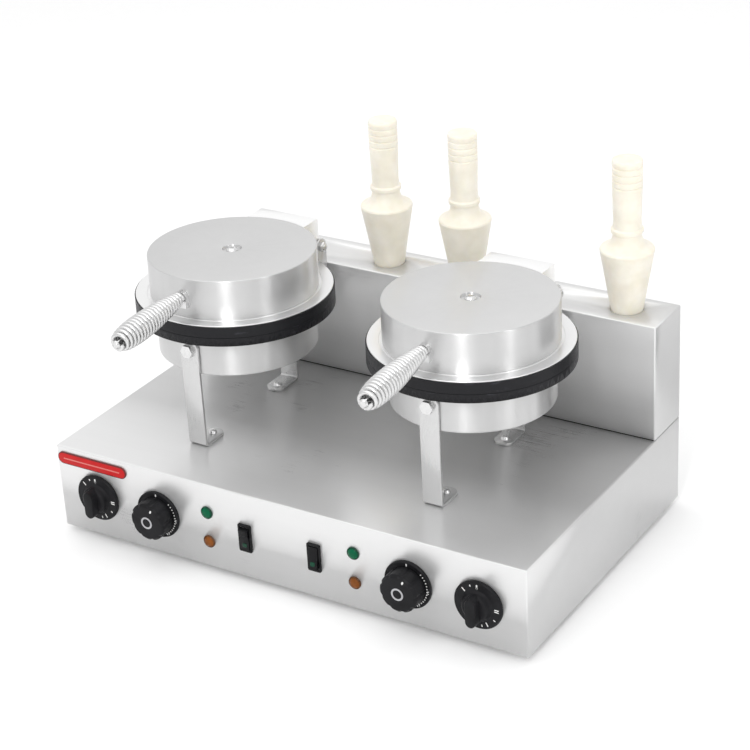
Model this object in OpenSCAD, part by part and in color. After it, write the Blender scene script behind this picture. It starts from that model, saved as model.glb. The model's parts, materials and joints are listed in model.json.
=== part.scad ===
// Double-head waffle cone maker with rear holder for cone formers.
// Millimetres, +Z up, operator stands at -Y. Origin: centre of the footprint at table level.

/* [Base] */
// overall width of the base box
base_w = 570; // [500:1:640]
// overall depth of the base box
base_d = 348; // [300:1:400]
// height of the base box without its feet
base_h = 98; // [80:1:120]
// sheet thickness of base, housing and covers
sheet_t = 1.2; // [0.8:0.1:2]
// outside radius of the folds in the sheet
bend_r = 1.8; // [1:0.1:3]
// height of the rubber feet
foot_h = 8; // [4:1:20]
// radius of the rubber feet
foot_r = 13; // [8:1:20]
// distance of the feet from the sides
foot_inset = 62; // [30:1:90]

/* [Rear housing] */
// depth of the rear housing
house_d = 61.5; // [45:0.5:90]
// height of the rear housing above the deck
house_h = 131; // [100:1:160]
// length of a vent slot in the rear panel
vent_len = 58; // [30:1:90]
// height of a vent slot
vent_h = 4; // [2:0.5:8]

/* [Heads] */
// distance of each head from the centre plane
head_x = 144.3; // [120:0.1:160]
// distance of the can centre behind the front panel
head_y = 154.4; // [140:0.1:180]
// height of the can floor above the base underside
head_z = 182.3; // [160:0.1:200]
// backward lean of the heads in degrees
tilt = 1; // [0:0.1:5]
// outer radius of the lower can
can_r = 85.5; // [80:0.5:90]
// outer radius of the lid
lid_r = 90; // [84:0.5:95]
// height of the lower can
can_h = 44; // [30:1:60]
// wall of the spun cans
can_t = 1.5; // [1:0.1:3]
// radius of the cast baking plates
plate_r = 106.6; // [100:0.1:107]
// thickness of the lower baking plate
low_plate_h = 9; // [6:0.5:14]
// closed gap between the plates
plate_gap = 0.4; // [0.3:0.1:2]
// thickness of the upper baking plate
up_plate_h = 11.6; // [6:0.1:14]
// thickness of the bright ring under the lid
ring_t = 1.4; // [1:0.1:3]
// height of the lid
lid_h = 43; // [30:1:60]

/* [Waffle grid] */
// radius of the gridded baking area
grid_r = 97; // [80:1:100]
// pitch of the grid
grid_pitch = 11; // [9:0.5:14]
// width of a groove
groove_w = 2.4; // [1:0.1:4]
// depth of a groove
groove_d = 1.4; // [0.8:0.1:3]
// depth of the baking recess inside the rim
recess_d = 0.5; // [0.3:0.1:1.5]

/* [Hinge] */
// hinge axis behind the can centre, in the head frame
hinge_v = 110.2; // [108:0.1:118]
// hinge axis above the can floor, in the head frame
hinge_h = 76.8; // [70:0.1:90]
// radius of the hinge bolts
pin_r = 3; // [2:0.1:5]
// running clearance of the lid bracket on the bolts, radial
pin_play = 0.06; // [0.03:0.01:0.1]
// outside width of the lid bracket
bracket_w = 74; // [60:1:90]
// sheet of the brackets
bracket_t = 2; // [1.5:0.1:3]
// side gap between lid bracket and fixed ears
ear_gap = 0.4; // [0.3:0.1:1]

/* [Coil handle] */
// height of the handle axis in the head frame
handle_h = 90; // [80:0.5:98]
// length of the coil
coil_len = 109; // [90:1:140]
// droop of the handle against the lid's base, in degrees
droop = 4; // [0:0.5:10]
// number of turns
coil_turns = 21; // [12:1:26]
// wire radius
wire_r = 2.3; // [1:0.1:2.4]
// outside radius at the root
coil_root_r = 7.2; // [6:0.1:9]
// outside radius at the widest turn
coil_max_r = 13.9; // [10:0.1:16]
// outside radius at the tip
coil_tip_r = 7.4; // [6:0.1:9]
// where the widest turn sits, as a share of the length
coil_peak = 0.7; // [0.5:0.05:0.85]
// radius of the handle rod
rod_r = 2.4; // [2:0.1:2.6]

/* [Legs] */
// width of the strip legs
leg_w = 22; // [15:1:30]
// thickness of the strip legs
leg_t = 3; // [2:0.5:5]
// length of the bent foot
leg_foot = 38; // [25:1:45]
// height of the bolt through the can wall
leg_bolt_h = 27; // [20:1:32]

/* [Controls] */
// height of the control row above the base underside
row_z = 47; // [40:1:55]
// timer position from the centre plane
timer_x = 232.6; // [210:0.1:250]
// radius of the timer skirt
timer_r = 26.6; // [20:0.1:30]
// thermostat position from the centre plane
thermo_x = 153; // [130:0.1:170]
// radius of the thermostat bezel
bezel_r = 26.6; // [22:0.1:30]
// radius of the thermostat knob
thermo_r = 21.3; // [16:0.1:24]
// how far the knob face stands out of the panel
thermo_out = 23; // [16:0.5:28]
// lamp position from the centre plane
lamp_x = 89.5; // [70:0.1:110]
// height of the green lamps
green_z = 64.6; // [55:0.1:70]
// height of the amber lamps
amber_z = 30.1; // [25:0.1:40]
// radius of a lamp lens
lamp_r = 7.1; // [5:0.1:9]
// switch position from the centre plane
switch_x = 42.3; // [30:0.1:60]
// width of the switch bezel
switch_w = 15.8; // [12:0.1:22]
// height of the switch bezel
switch_l = 32.2; // [24:0.1:40]
// angle of the rocker either side of level
rock_deg = 8; // [5:0.5:12]

/* [Cone formers] */
// left former position
cone_x1 = -50; // [-80:1:-30]
// middle former position
cone_x2 = 48; // [30:1:80]
// right former position
cone_x3 = 238.5; // [200:0.5:250]
// height of the shoulder above the housing top
cone_shoulder = 67.5; // [50:0.5:80]
// radius of the shoulder
cone_r = 28.6; // [24:0.1:32]
// radius at the housing top
cone_seat_r = 16.9; // [12:0.1:20]
// overall height above the housing top
cone_top = 166.5; // [140:0.5:180]
// play around a former in its hole
cone_play = 0.4; // [0.3:0.1:1]

/* [Badge] */
// length of the badge
badge_l = 91; // [60:1:110]
// height of the badge
badge_h = 14; // [8:0.5:20]

/* [Hidden] */
$fn = 96;
deck_z = base_h;
house_top = base_h + house_h;
house_y = base_d - house_d;
cone_y = base_d - house_d / 2;
low_plate_z = can_h;
up_plate_z = can_h + low_plate_h + plate_gap;
ring_z = up_plate_z + up_plate_h;
lid_z = ring_z + ring_t;
lid_top = lid_z + lid_h;
screw_bite = 8;
dimple = 1.1;
boss_out = 5;
grip_len = boss_out + coil_len + 2;
gland_out = 13;
cap_tip_r = 3.2;
ear_in = bracket_w / 2 + ear_gap;
ear_t = 2.5;
lead_hole_r = 7;
web_t = 2.5;
grip_v = lid_r + grip_len * cos(droop);
grip_h = handle_h - grip_len * sin(droop);
front_reach = grip_v * cos(tilt) - grip_h * sin(tilt) + cap_tip_r * abs(sin(droop - tilt)) - head_y;
y_shift = -(base_d + gland_out - front_reach) / 2;
switch_open_l = 26.8;
switch_open_w = 11.4;
pivot_in = 2;

steel = [0.78, 0.79, 0.8];
bright = [0.88, 0.88, 0.9];
dark = [0.08, 0.08, 0.09];
cream = [0.93, 0.9, 0.8];

// ---------- frames ----------

// base frame: y from the front panel, z from the base underside
module machine() {
    translate([0, y_shift, foot_h]) children();
}

// head frame: z along the can axis from the can floor
module head(side) {
    machine() translate([side * head_x, head_y, head_z]) rotate([-tilt, 0, 0]) children();
}

// panel frame: z points out of the front panel, y points up
module panel(x, z) {
    machine() translate([x, 0, z]) rotate([90, 0, 0]) children();
}

// horizontal axis through the head, z pointing to the operator
module toward_front(h) {
    translate([0, 0, h]) rotate([90, 0, 0]) children();
}

module toward_back(h) {
    translate([0, 0, h]) rotate([-90, 0, 0]) children();
}

// axis of the coil handle, from the lid's wall outwards
module along_handle() {
    translate([0, -lid_r, handle_h]) rotate([90 + droop, 0, 0]) children();
}

module box(x0, x1, y0, y1, z0, z1) {
    translate([x0, y0, z0]) cube([x1 - x0, y1 - y0, z1 - z0]);
}

module hex(af, h) {
    cylinder(r = af / 2 / cos(30), h = h, $fn = 6);
}

module stadium(l, w, h) {
    translate([-l / 2 + w / 2, -w / 2, 0]) cube([l - w, w, h]);
    for (s = [-1, 1]) translate([s * (l - w) / 2, 0, 0]) cylinder(r = w / 2, h = h);
}

module rounded_slab(l, w, r, h) {
    translate([-l / 2 + r, -w / 2, 0]) cube([l - 2 * r, w, h]);
    translate([-l / 2, -w / 2 + r, 0]) cube([l, w - 2 * r, h]);
    for (i = [-1, 1], j = [-1, 1])
        translate([i * (l / 2 - r), j * (w / 2 - r), 0]) cylinder(r = r, h = h);
}

// ---------- base and housing ----------

module control_holes() {
    for (s = [-1, 1]) {
        translate([s * timer_x, 0, row_z]) rotate([90, 0, 0]) cylinder(r = 5, h = 6, center = true);
        translate([s * thermo_x, 0, row_z]) rotate([90, 0, 0]) cylinder(r = 5, h = 6, center = true);
        for (z = [green_z, amber_z])
            translate([s * lamp_x, 0, z]) rotate([90, 0, 0]) cylinder(r = 5, h = 6, center = true);
        box(s * switch_x - 6.5, s * switch_x + 6.5, -3, 3, row_z - 14.4, row_z + 14.4);
    }
}

module foot_screw_holes() {
    for (s = [-1, 1], y = [front_foot_y, rear_foot_y])
        translate([s * head_x, y, deck_z - 5]) cylinder(r = 2.5, h = 10);
}

leg_front_y = head_y - can_r * cos(tilt);
leg_rear_y = head_y + (can_r + web_t) * cos(tilt);
foot_reach = leg_foot - leg_w / 2;
leg_top = leg_bolt_h + leg_w / 2 + 0.2;
front_foot_y = leg_front_y - leg_t + foot_reach;
rear_foot_y = leg_rear_y + leg_t - foot_reach;

// what a fold leaves of a square edge that runs along z at the origin, material towards +x +y
module fold_corner(l) {
    difference() {
        translate([-1, -1, -l / 2]) cube([bend_r + 1, bend_r + 1, l]);
        translate([bend_r, bend_r, 0]) cylinder(r = bend_r, h = l + 2, center = true);
    }
}

// rounds the front, side and upright edges of a sheet box that is open below and behind
module fold_edges(y0, z0, z1) {
    for (s = [0, 1]) mirror([s, 0, 0]) translate([-base_w / 2, 0, 0]) {
        translate([0, y0, (z0 + z1) / 2]) fold_corner(z1 - z0 + 4);
        translate([0, (y0 + base_d) / 2, z1]) rotate([90, 0, 0]) mirror([0, 1, 0])
            fold_corner(base_d - y0 + 4);
    }
    translate([0, y0, z1]) rotate([0, 90, 0]) fold_corner(base_w + 4);
}

module base_shell() {
    w = base_w / 2;
    color(steel) machine() difference() {
        box(-w, w, 0, base_d, 0, base_h);
        fold_edges(0, 0, base_h);
        box(-w + sheet_t, w - sheet_t, sheet_t, base_d + 1, -1, base_h - sheet_t);
        box(-w + sheet_t, w - sheet_t, base_d - sheet_t, base_d + 1, 0, base_h + 1);
        control_holes();
        foot_screw_holes();
    }
}

module bottom_plate() {
    w = base_w / 2 - sheet_t;
    color(steel) machine() difference() {
        box(-w, w, sheet_t, base_d - sheet_t, 0, sheet_t);
        for (x = [-180:24:180])
            translate([x, base_d / 2, -1]) rotate([0, 0, 90]) stadium(70, 5, 4);
    }
}

module feet() {
    color(dark) machine() for (i = [-1, 1], j = [foot_inset, base_d - foot_inset])
        translate([i * (base_w / 2 - foot_inset), j, -foot_h]) {
            cylinder(r1 = foot_r - 1.5, r2 = foot_r, h = 2);
            translate([0, 0, 2]) cylinder(r = foot_r, h = foot_h - 2);
        }
}

module rear_housing() {
    w = base_w / 2;
    color(steel) machine() difference() {
        box(-w, w, house_y, base_d, deck_z, house_top);
        fold_edges(house_y, deck_z, house_top);
        box(-w + sheet_t, w - sheet_t, house_y + sheet_t, base_d + 1, deck_z - 1, house_top - sheet_t);
        box(-w + sheet_t, w - sheet_t, base_d - sheet_t, base_d + 1, deck_z, house_top - sheet_t);
        for (x = [cone_x1, cone_x2, cone_x3])
            translate([x, cone_y, house_top - 5]) cylinder(r = cone_seat_r + cone_play, h = 10);
    }
}

screw_x = base_w / 2 - 14;
gland_x = -200;
gland_z = 34;

module rear_panel() {
    w = base_w / 2 - sheet_t;
    color(steel) machine() difference() {
        box(-w, w, base_d - sheet_t, base_d, sheet_t, house_top - sheet_t);
        for (s = [-1, 1], k = [0:6])
            translate([s * 120, base_d, 128 + k * 11]) rotate([90, 0, 0])
                translate([0, 0, -1]) stadium(vent_len, vent_h, 4);
        translate([gland_x, base_d, gland_z]) rotate([90, 0, 0]) cylinder(r = 8, h = 6, center = true);
        screws_at() cylinder(r = 2, h = 6, center = true);
    }
}

module screws_at() {
    for (x = [-screw_x, 0, screw_x], z = [14, house_top - 14])
        translate([x, base_d, z]) rotate([-90, 0, 0]) children();
}

module panel_screws() {
    color(bright) machine() screws_at() difference() {
        union() {
            translate([0, 0, -8]) cylinder(r = 2, h = 8);
            cylinder(r1 = 4.2, r2 = 3, h = 2.4);
        }
        translate([-5, -0.5, 1.4]) cube([10, 1, 2]);
    }
}

module cable_gland() {
    color(dark) machine() translate([gland_x, base_d, gland_z]) rotate([-90, 0, 0]) difference() {
        union() {
            translate([0, 0, -12]) cylinder(r = 8, h = 12);
            translate([0, 0, -sheet_t - 5]) hex(22, 5);
            hex(22, 5);
            translate([0, 0, 5]) cylinder(r = 9.5, h = 3);
            translate([0, 0, 8]) cylinder(r1 = 9.5, r2 = 6, h = gland_out - 8);
        }
        translate([0, 0, -13]) cylinder(r = 4, h = 40);
    }
}

module terminal_block() {
    color([0.85, 0.85, 0.82]) machine() translate([-200, 250, sheet_t]) difference() {
        union() {
            box(-32, 32, -13, 13, 0, 4);
            box(-28, 28, -9, 9, 4, 18);
        }
        for (k = [-2:2]) {
            translate([k * 10.5, -5, 10]) cylinder(r = 3, h = 10);
            translate([k * 10.5, 5, 10]) cylinder(r = 3, h = 10);
        }
        for (s = [-1, 1]) translate([s * 29.8, 0, -1]) cylinder(r = 1.8, h = 6);
    }
}

module badge() {
    color([0.75, 0.07, 0.09]) panel(-237.5, 84.8) difference() {
        stadium(badge_l, badge_h, 1.6);
        translate([0, 0, 1.1]) stadium(badge_l - 2.4, badge_h - 2.4, 1);
    }
}

// ---------- cone formers ----------

// cone, concave neck, collar bead and ringed grip in one turned profile
module cone_former(x) {
    slope = (cone_r - cone_seat_r) / cone_shoulder;
    tip_r = 1.6;
    tip = -(cone_seat_r - tip_r) / slope;
    neck = [for (a = [0:15:90])
        [15.2 + 11.6 * (1 - sin(a)), cone_shoulder + 2.5 + 14 * (1 - cos(a)) + a / 90]];
    grooves = [for (k = [0:3], q = [0:3])
        [(q == 0 || q == 3) ? 15.6 : 14.7, cone_top - 30 + k * 7 + [0, 0.6, 1.8, 2.4][q]]];
    crown = [for (a = [0:15:90]) [12.4 + 3.4 * cos(a) - (a == 90 ? 12.4 : 0), cone_top - 2.6 + 2.6 * sin(a)]];
    profile = concat(
        [[0, tip - 1.2], [tip_r, tip], [cone_r, cone_shoulder], [cone_r - 0.5, cone_shoulder + 1.6]],
        neck,
        [[15.2, cone_shoulder + 18.4], [16.9, cone_shoulder + 19.4], [16.9, cone_shoulder + 23.6],
         [15.0, cone_shoulder + 25.2], [14.5, cone_shoulder + 33]],
        grooves,
        crown
    );
    color(cream) machine() translate([x, cone_y, house_top]) rotate_extrude() polygon(profile);
}

module cone_former_left() { cone_former(cone_x1); }
module cone_former_middle() { cone_former(cone_x2); }
module cone_former_right() { cone_former(cone_x3); }

// ---------- legs ----------

// point in the side view of a head: v behind the can axis, h above the can floor
function head_point(v, h) = [
    head_y + v * cos(tilt) + h * sin(tilt),
    head_z - v * sin(tilt) + h * cos(tilt)
];

// side view of a strip leg: foot on the deck, round bend, upright and a tab leaning with the can
function leg_outline(dir) = let (
    inner_v = (dir < 0) ? -can_r : can_r + web_t,
    outer_v = inner_v + dir * leg_t,
    outer_y = head_point(inner_v, 0)[0] + dir * leg_t,
    bend_in = 2,
    bend_out = bend_in + leg_t,
    lean = dir * leg_t * tan(tilt / 2)
) concat(
    [[outer_y - dir * leg_foot, deck_z]],
    [for (a = [0:15:90])
        [outer_y - dir * bend_out * (1 - sin(a)), deck_z + bend_out * (1 - cos(a))]],
    [head_point(outer_v, lean), head_point(outer_v, leg_top)],
    [head_point(inner_v, leg_top), head_point(inner_v, 0)],
    [for (a = [90:-15:0])
        [outer_y - dir * (bend_out - bend_in * sin(a)), deck_z + bend_out - bend_in * cos(a)]],
    [[outer_y - dir * leg_foot, deck_z + leg_t]]
);

// what a round strip end leaves of the square corners, outwards being up
module end_corners() {
    difference() {
        box(-leg_w, leg_w, -8, 8, 0, leg_w);
        rotate([90, 0, 0]) cylinder(r = leg_w / 2 + 0.5, h = 20, center = true);
    }
}

module strip_leg(side, dir) {
    foot_y = (dir < 0) ? front_foot_y : rear_foot_y;
    color(bright) difference() {
        machine() translate([side * head_x - leg_w / 2, 0, 0]) rotate([90, 0, 90])
            linear_extrude(leg_w) polygon(leg_outline(dir));
        head(side) translate([0, dir * can_r, leg_bolt_h]) {
            rotate([90, 0, 0]) cylinder(r = 4, h = 20, center = true);
            end_corners();
        }
        machine() translate([side * head_x, foot_y, deck_z]) {
            cylinder(r = 2.5, h = 20, center = true);
            rotate([dir * 90, 0, 0]) end_corners();
        }
    }
}

module left_front_leg() { strip_leg(-1, -1); }
module right_front_leg() { strip_leg(1, -1); }
module left_rear_leg() { strip_leg(-1, 1); }
module right_rear_leg() { strip_leg(1, 1); }

module leg_bolts() {
    color(bright) for (s = [-1, 1]) {
        head(s) toward_front(leg_bolt_h) {
            translate([0, 0, can_r + leg_t]) hex(13, 5.3);
            translate([0, 0, can_r - 10]) cylinder(r = 4, h = 10 + leg_t);
            translate([0, 0, can_r - can_t - 7]) hex(13, 6.5);
        }
        head(s) toward_back(leg_bolt_h) {
            translate([0, 0, can_r + web_t + leg_t]) hex(13, 5.3);
            translate([0, 0, can_r - 10]) cylinder(r = 4, h = 10 + web_t + leg_t);
            translate([0, 0, can_r - can_t - 7]) hex(13, 6.5);
        }
        machine() for (y = [front_foot_y, rear_foot_y]) translate([s * head_x, y, deck_z + leg_t]) {
            translate([0, 0, -leg_t - 6]) cylinder(r = 2.5, h = leg_t + 6);
            difference() {
                cylinder(r1 = 5, r2 = 3.6, h = 3.2);
                translate([-6, -0.6, 2.2]) cube([12, 1.2, 2]);
            }
        }
    }
}

// ---------- lower half of a head ----------

// points of an arc in a profile
function arc(x, z, r, from, to) = [
    for (k = [0:6]) let (a = from + (to - from) * k / 6) [x + r * cos(a), z + r * sin(a)]
];

// spun can turned in one profile, with a hole for the leads in its floor
module lower_can(side) {
    skin = concat(
        [[lead_hole_r, 0]],
        arc(can_r - 2.4, 2.4, 2.4, -90, 0),
        [[can_r, can_h], [can_r - can_t, can_h], [can_r - can_t, can_t], [lead_hole_r, can_t]]
    );
    color(steel) head(side) difference() {
        rotate_extrude() polygon(skin);
        toward_front(leg_bolt_h) translate([0, 0, can_r - 8]) cylinder(r = 4, h = 20);
        toward_back(leg_bolt_h) translate([0, 0, can_r - 8]) cylinder(r = 4, h = 20);
    }
}

// crossing grooves of the waffle pattern, limited to the baking area
module waffle_grooves() {
    n = floor(grid_r / grid_pitch);
    deep = groove_d + recess_d;
    intersection() {
        cylinder(r = grid_r, h = deep);
        union() for (k = [-n:n]) {
            translate([k * grid_pitch - groove_w / 2, -grid_r, 0]) cube([groove_w, 2 * grid_r, deep]);
            translate([-grid_r, k * grid_pitch - groove_w / 2, 0]) cube([2 * grid_r, groove_w, deep]);
        }
    }
}

module lower_plate(side) {
    top = low_plate_z + low_plate_h;
    color(dark) head(side) difference() {
        union() {
            translate([0, 0, low_plate_z]) cylinder(r = plate_r, h = low_plate_h);
            translate([0, 0, low_plate_z - 2]) cylinder(r = can_r - can_t - 0.3, h = 2.5);
        }
        translate([0, 0, top - recess_d]) cylinder(r = grid_r, h = 2);
        translate([0, 0, top - recess_d - groove_d]) waffle_grooves();
    }
}

module heater(z) {
    translate([0, 0, z]) difference() {
        cylinder(r = 74, h = 5);
        translate([0, 0, -1]) cylinder(r = 26, h = 7);
    }
}

module lower_heater(side) {
    z = low_plate_z - 7;
    color([0.55, 0.5, 0.45]) head(side) {
        heater(z);
        for (x = [-12, 12]) translate([x, 50, z - 9]) cylinder(r = 2.5, h = 9);
    }
}

// web bolted to the back of the can, two ears rising behind the plates
module hinge_base(side) {
    color(bright) head(side) difference() {
        union() {
            box(-ear_in, ear_in, can_r, can_r + web_t, 8, 42);
            for (s = [-1, 1]) translate([s * (ear_in + ear_t / 2), 0, 0]) {
                box(-ear_t / 2, ear_t / 2, can_r, hinge_v + 9, 8, 42);
                box(-ear_t / 2, ear_t / 2, hinge_v - 9, hinge_v + 9, 41, hinge_h);
                translate([-ear_t / 2, hinge_v, hinge_h]) rotate([0, 90, 0]) cylinder(r = 9, h = ear_t);
            }
        }
        toward_back(leg_bolt_h) translate([0, 0, can_r - 2]) cylinder(r = 4, h = 10);
        translate([0, hinge_v, hinge_h]) rotate([0, 90, 0])
            cylinder(r = pin_r, h = 2 * ear_in + 20, center = true);
        cylinder(r = can_r, h = 60);
    }
}

module hinge_bolts() {
    reach = ear_in + ear_t;
    inner = bracket_w / 2 - bracket_t - 6;
    color(bright) for (s = [-1, 1]) head(s) for (e = [-1, 1])
        translate([0, hinge_v, hinge_h]) rotate([0, e * 90, 0]) {
            translate([0, 0, inner]) cylinder(r = pin_r, h = reach - inner + 4);
            translate([0, 0, reach]) hex(10, 4);
            translate([0, 0, reach + 4]) cylinder(r = pin_r + 0.6, h = 1.2);
        }
}

// ---------- upper half of a head ----------

module upper_plate(side) {
    color(dark) head(side) difference() {
        translate([0, 0, up_plate_z]) cylinder(r = plate_r, h = up_plate_h);
        translate([0, 0, up_plate_z - 1]) cylinder(r = grid_r, h = 1 + recess_d);
        translate([0, 0, up_plate_z]) waffle_grooves();
        translate([0, 0, ring_z - screw_bite]) cylinder(r = 2.5, h = 14);
    }
}

module upper_heater(side) {
    color([0.55, 0.5, 0.45]) head(side) {
        heater(ring_z);
        for (x = [-12, 12]) translate([x, 50, ring_z + 5]) cylinder(r = 2.5, h = 9);
    }
}

module lid_ring(side) {
    color(bright) head(side) translate([0, 0, ring_z]) difference() {
        cylinder(r = plate_r - 1.2, h = ring_t);
        translate([0, 0, -1]) cylinder(r = 80, h = 4);
        translate([0, 0, ring_t - 0.6]) difference() {
            cylinder(r = lid_r + 3.4, h = 2);
            translate([0, 0, -1]) cylinder(r = lid_r + 1.8, h = 4);
        }
    }
}

// lid turned in one profile: dimple for the screw, flat top, small edge radius and wall
module lid_can(side) {
    skin = concat(
        [[2.5, lid_top - dimple], [7, lid_top - dimple], [9.4, lid_top]],
        arc(lid_r - 1.4, lid_top - 1.4, 1.4, 90, 0),
        [[lid_r, lid_z], [lid_r - can_t, lid_z], [lid_r - can_t, lid_top - can_t], [9, lid_top - can_t],
         [6.8, lid_top - can_t - dimple], [2.5, lid_top - can_t - dimple]]
    );
    color(steel) head(side) difference() {
        rotate_extrude() polygon(skin);
        along_handle() translate([0, 0, -8]) cylinder(r = rod_r, h = 20);
    }
}

// long screw that clamps the lid to the upper plate, slotted head in the dimple
module lid_screw(side) {
    color(bright) head(side) difference() {
        union() {
            translate([0, 0, ring_z - screw_bite]) cylinder(r = 2.5, h = lid_top - ring_z + screw_bite);
            translate([0, 0, lid_top - dimple]) cylinder(r1 = 6.4, r2 = 4.4, h = 3.2);
        }
        translate([-7, -0.7, lid_top + 0.8]) cube([14, 1.4, 3]);
    }
}

// folded channel behind the lid: top flush with the lid, cheeks down to the ring
module lid_bracket(side) {
    w = bracket_w / 2;
    color(bright) head(side) difference() {
        union() {
            box(-w, w, 60, hinge_v, lid_top - bracket_t, lid_top);
            for (s = [-1, 1]) translate([s * (w - bracket_t / 2), 0, 0]) {
                box(-bracket_t / 2, bracket_t / 2, 60, hinge_v, lid_z, lid_top);
                translate([-bracket_t / 2, hinge_v, hinge_h]) rotate([0, 90, 0])
                    cylinder(r = 9, h = bracket_t);
            }
        }
        cylinder(r = lid_r, h = 200);
        translate([0, hinge_v, hinge_h]) rotate([0, 90, 0])
            cylinder(r = pin_r + pin_play, h = bracket_w + 10, center = true);
    }
}

// lug on the lid wall, rod through the coil, nut inside and end cap
module handle_rod(side) {
    color(bright) head(side) {
        difference() {
            union() {
                box(-6.5, 6.5, -lid_r - boss_out, -lid_r + 4, handle_h - 12, handle_h);
                along_handle() translate([0, 0, -4]) cylinder(r = 6.5, h = boss_out + 4);
            }
            cylinder(r = lid_r, h = 200);
        }
        along_handle() {
            translate([0, 0, -10]) cylinder(r = rod_r, h = grip_len + 10);
            translate([0, 0, -can_t - 5.8]) hex(10, 5);
            translate([0, 0, grip_len - 2]) cylinder(r1 = 4.6, r2 = cap_tip_r, h = 2);
        }
    }
}

// outside radius of the coil at share t of its length
function coil_out(t) = (t < coil_peak)
    ? coil_root_r + (coil_max_r - coil_root_r) * sin(90 * t / coil_peak)
    : coil_tip_r + (coil_max_r - coil_tip_r) * sqrt(max(0, 1 - pow((t - coil_peak) / (1 - coil_peak), 2)));

coil_seg = 16;
wire_seg = 8;
coil_n = coil_turns * coil_seg;
coil_run = coil_len - 2 * wire_r;

// one point of the wire surface: station i along the helix, station j round the wire
function wire_point(i, j) = let (
    t = i / coil_n,
    a = 360 * coil_turns * t,
    w = 360 * j / wire_seg,
    r = coil_out(t) - wire_r + wire_r * cos(w)
) [r * cos(a), r * sin(a), wire_r + t * coil_run + wire_r * sin(w)];

module handle_coil(side) {
    pts = [for (i = [0:coil_n], j = [0:wire_seg - 1]) wire_point(i, j)];
    skin = [for (i = [0:coil_n - 1], j = [0:wire_seg - 1], h = [0, 1])
        let (a = i * wire_seg + j, b = i * wire_seg + (j + 1) % wire_seg, c = a + wire_seg, d = b + wire_seg)
        (h == 0) ? [a, c, b] : [b, c, d]];
    ends = [[for (j = [0:wire_seg - 1]) j], [for (j = [wire_seg - 1:-1:0]) coil_n * wire_seg + j]];
    color(bright) head(side) along_handle() translate([0, 0, boss_out])
        polyhedron(points = pts, faces = concat(skin, ends));
}

// ---------- controls ----------

module timer_body(x) {
    color([0.75, 0.75, 0.72]) panel(x, row_z) {
        translate([-21, -21, -sheet_t - 30]) cube([42, 42, 28]);
        translate([0, 0, -sheet_t - 2]) cylinder(r = 5, h = 2 + sheet_t);
        cylinder(r = 3, h = 13);
    }
}

// ticked skirt with a wing grip, turning on the timer spindle
module timer_knob(x) {
    color(dark) panel(x, row_z) difference() {
        union() {
            translate([0, 0, 0.8]) cylinder(r = timer_r, h = 2.4);
            translate([0, 0, 3.2]) cylinder(r1 = timer_r, r2 = timer_r - 2.4, h = 1.2);
            translate([0, 0, 4.4]) cylinder(r1 = timer_r - 3, r2 = 15.5, h = 2.8);
            translate([0, 0, 7.2]) cylinder(r1 = 14.5, r2 = 12.5, h = 5);
            translate([0, 0, 7.2]) rotate([0, 0, 90]) stadium(35, 10.5, 13.4);
        }
        translate([0, 0, 0]) cylinder(r = 3.05, h = 14);
    }
}

module thermostat_body(x) {
    color([0.75, 0.75, 0.72]) panel(x, row_z) {
        translate([-16, -20, -sheet_t - 34]) cube([32, 40, 32]);
        translate([0, 0, -sheet_t - 2]) cylinder(r = 5, h = 2 + sheet_t);
        cylinder(r = 3, h = 15);
    }
}

// fixed dished bezel that carries the scale
module thermostat_bezel(x) {
    color(dark) panel(x, row_z) difference() {
        union() {
            cylinder(r = bezel_r, h = 2.6);
            translate([0, 0, 2.6]) cylinder(r1 = bezel_r, r2 = bezel_r - 1.6, h = 1.6);
        }
        translate([0, 0, 3]) cylinder(r1 = thermo_r + 0.8, r2 = bezel_r - 1.9, h = 1.3);
        translate([0, 0, -1]) cylinder(r = 5.5, h = 8);
    }
}

// round grip with shallow finger scallops and a stepped face
module thermostat_knob(x) {
    color(dark) panel(x, row_z) difference() {
        union() {
            translate([0, 0, 3.6]) cylinder(r = thermo_r - 0.6, h = 2);
            translate([0, 0, 5.6]) cylinder(r = thermo_r, h = thermo_out - 8.2);
            translate([0, 0, thermo_out - 2.6]) cylinder(r1 = thermo_r, r2 = thermo_r - 3.2, h = 2.6);
        }
        for (k = [0:8]) rotate([0, 0, 40 * k + 20])
            translate([thermo_r + 7.6, 0, 6.4]) cylinder(r = 9, h = 30);
        translate([0, 0, thermo_out - 0.6]) difference() {
            cylinder(r = 8.6, h = 2);
            translate([0, 0, -1]) cylinder(r = 7.4, h = 4);
        }
        translate([0, 0, 2]) cylinder(r = 3.05, h = 14);
    }
}

module lamp(x, z, tint) {
    color(tint) panel(x, z) {
        translate([0, 0, -22]) cylinder(r = 5, h = 22);
        cylinder(r = lamp_r, h = 1.4);
        translate([0, 0, 1.4]) rotate_extrude() polygon(concat([[0, 0]],
            [for (a = [0:15:75]) [(lamp_r - 0.6) * cos(a), 3.4 * sin(a)]], [[0, 3.4]]));
    }
}

module switch_body(x) {
    color(dark) panel(x, row_z) difference() {
        union() {
            rounded_slab(switch_w, switch_l, 1.8, 2);
            translate([-6.5, -14.4, -20]) cube([13, 28.8, 20]);
            for (y = [-8, 0, 8]) translate([-3, y - 0.4, -28]) cube([6, 0.8, 8]);
        }
        translate([-switch_open_w / 2, -switch_open_l / 2, -9.5]) cube([switch_open_w, switch_open_l, 20]);
        translate([0, 0, -pivot_in]) rotate([0, 90, 0]) cylinder(r = 1.55, h = 12.8, center = true);
    }
}

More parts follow.
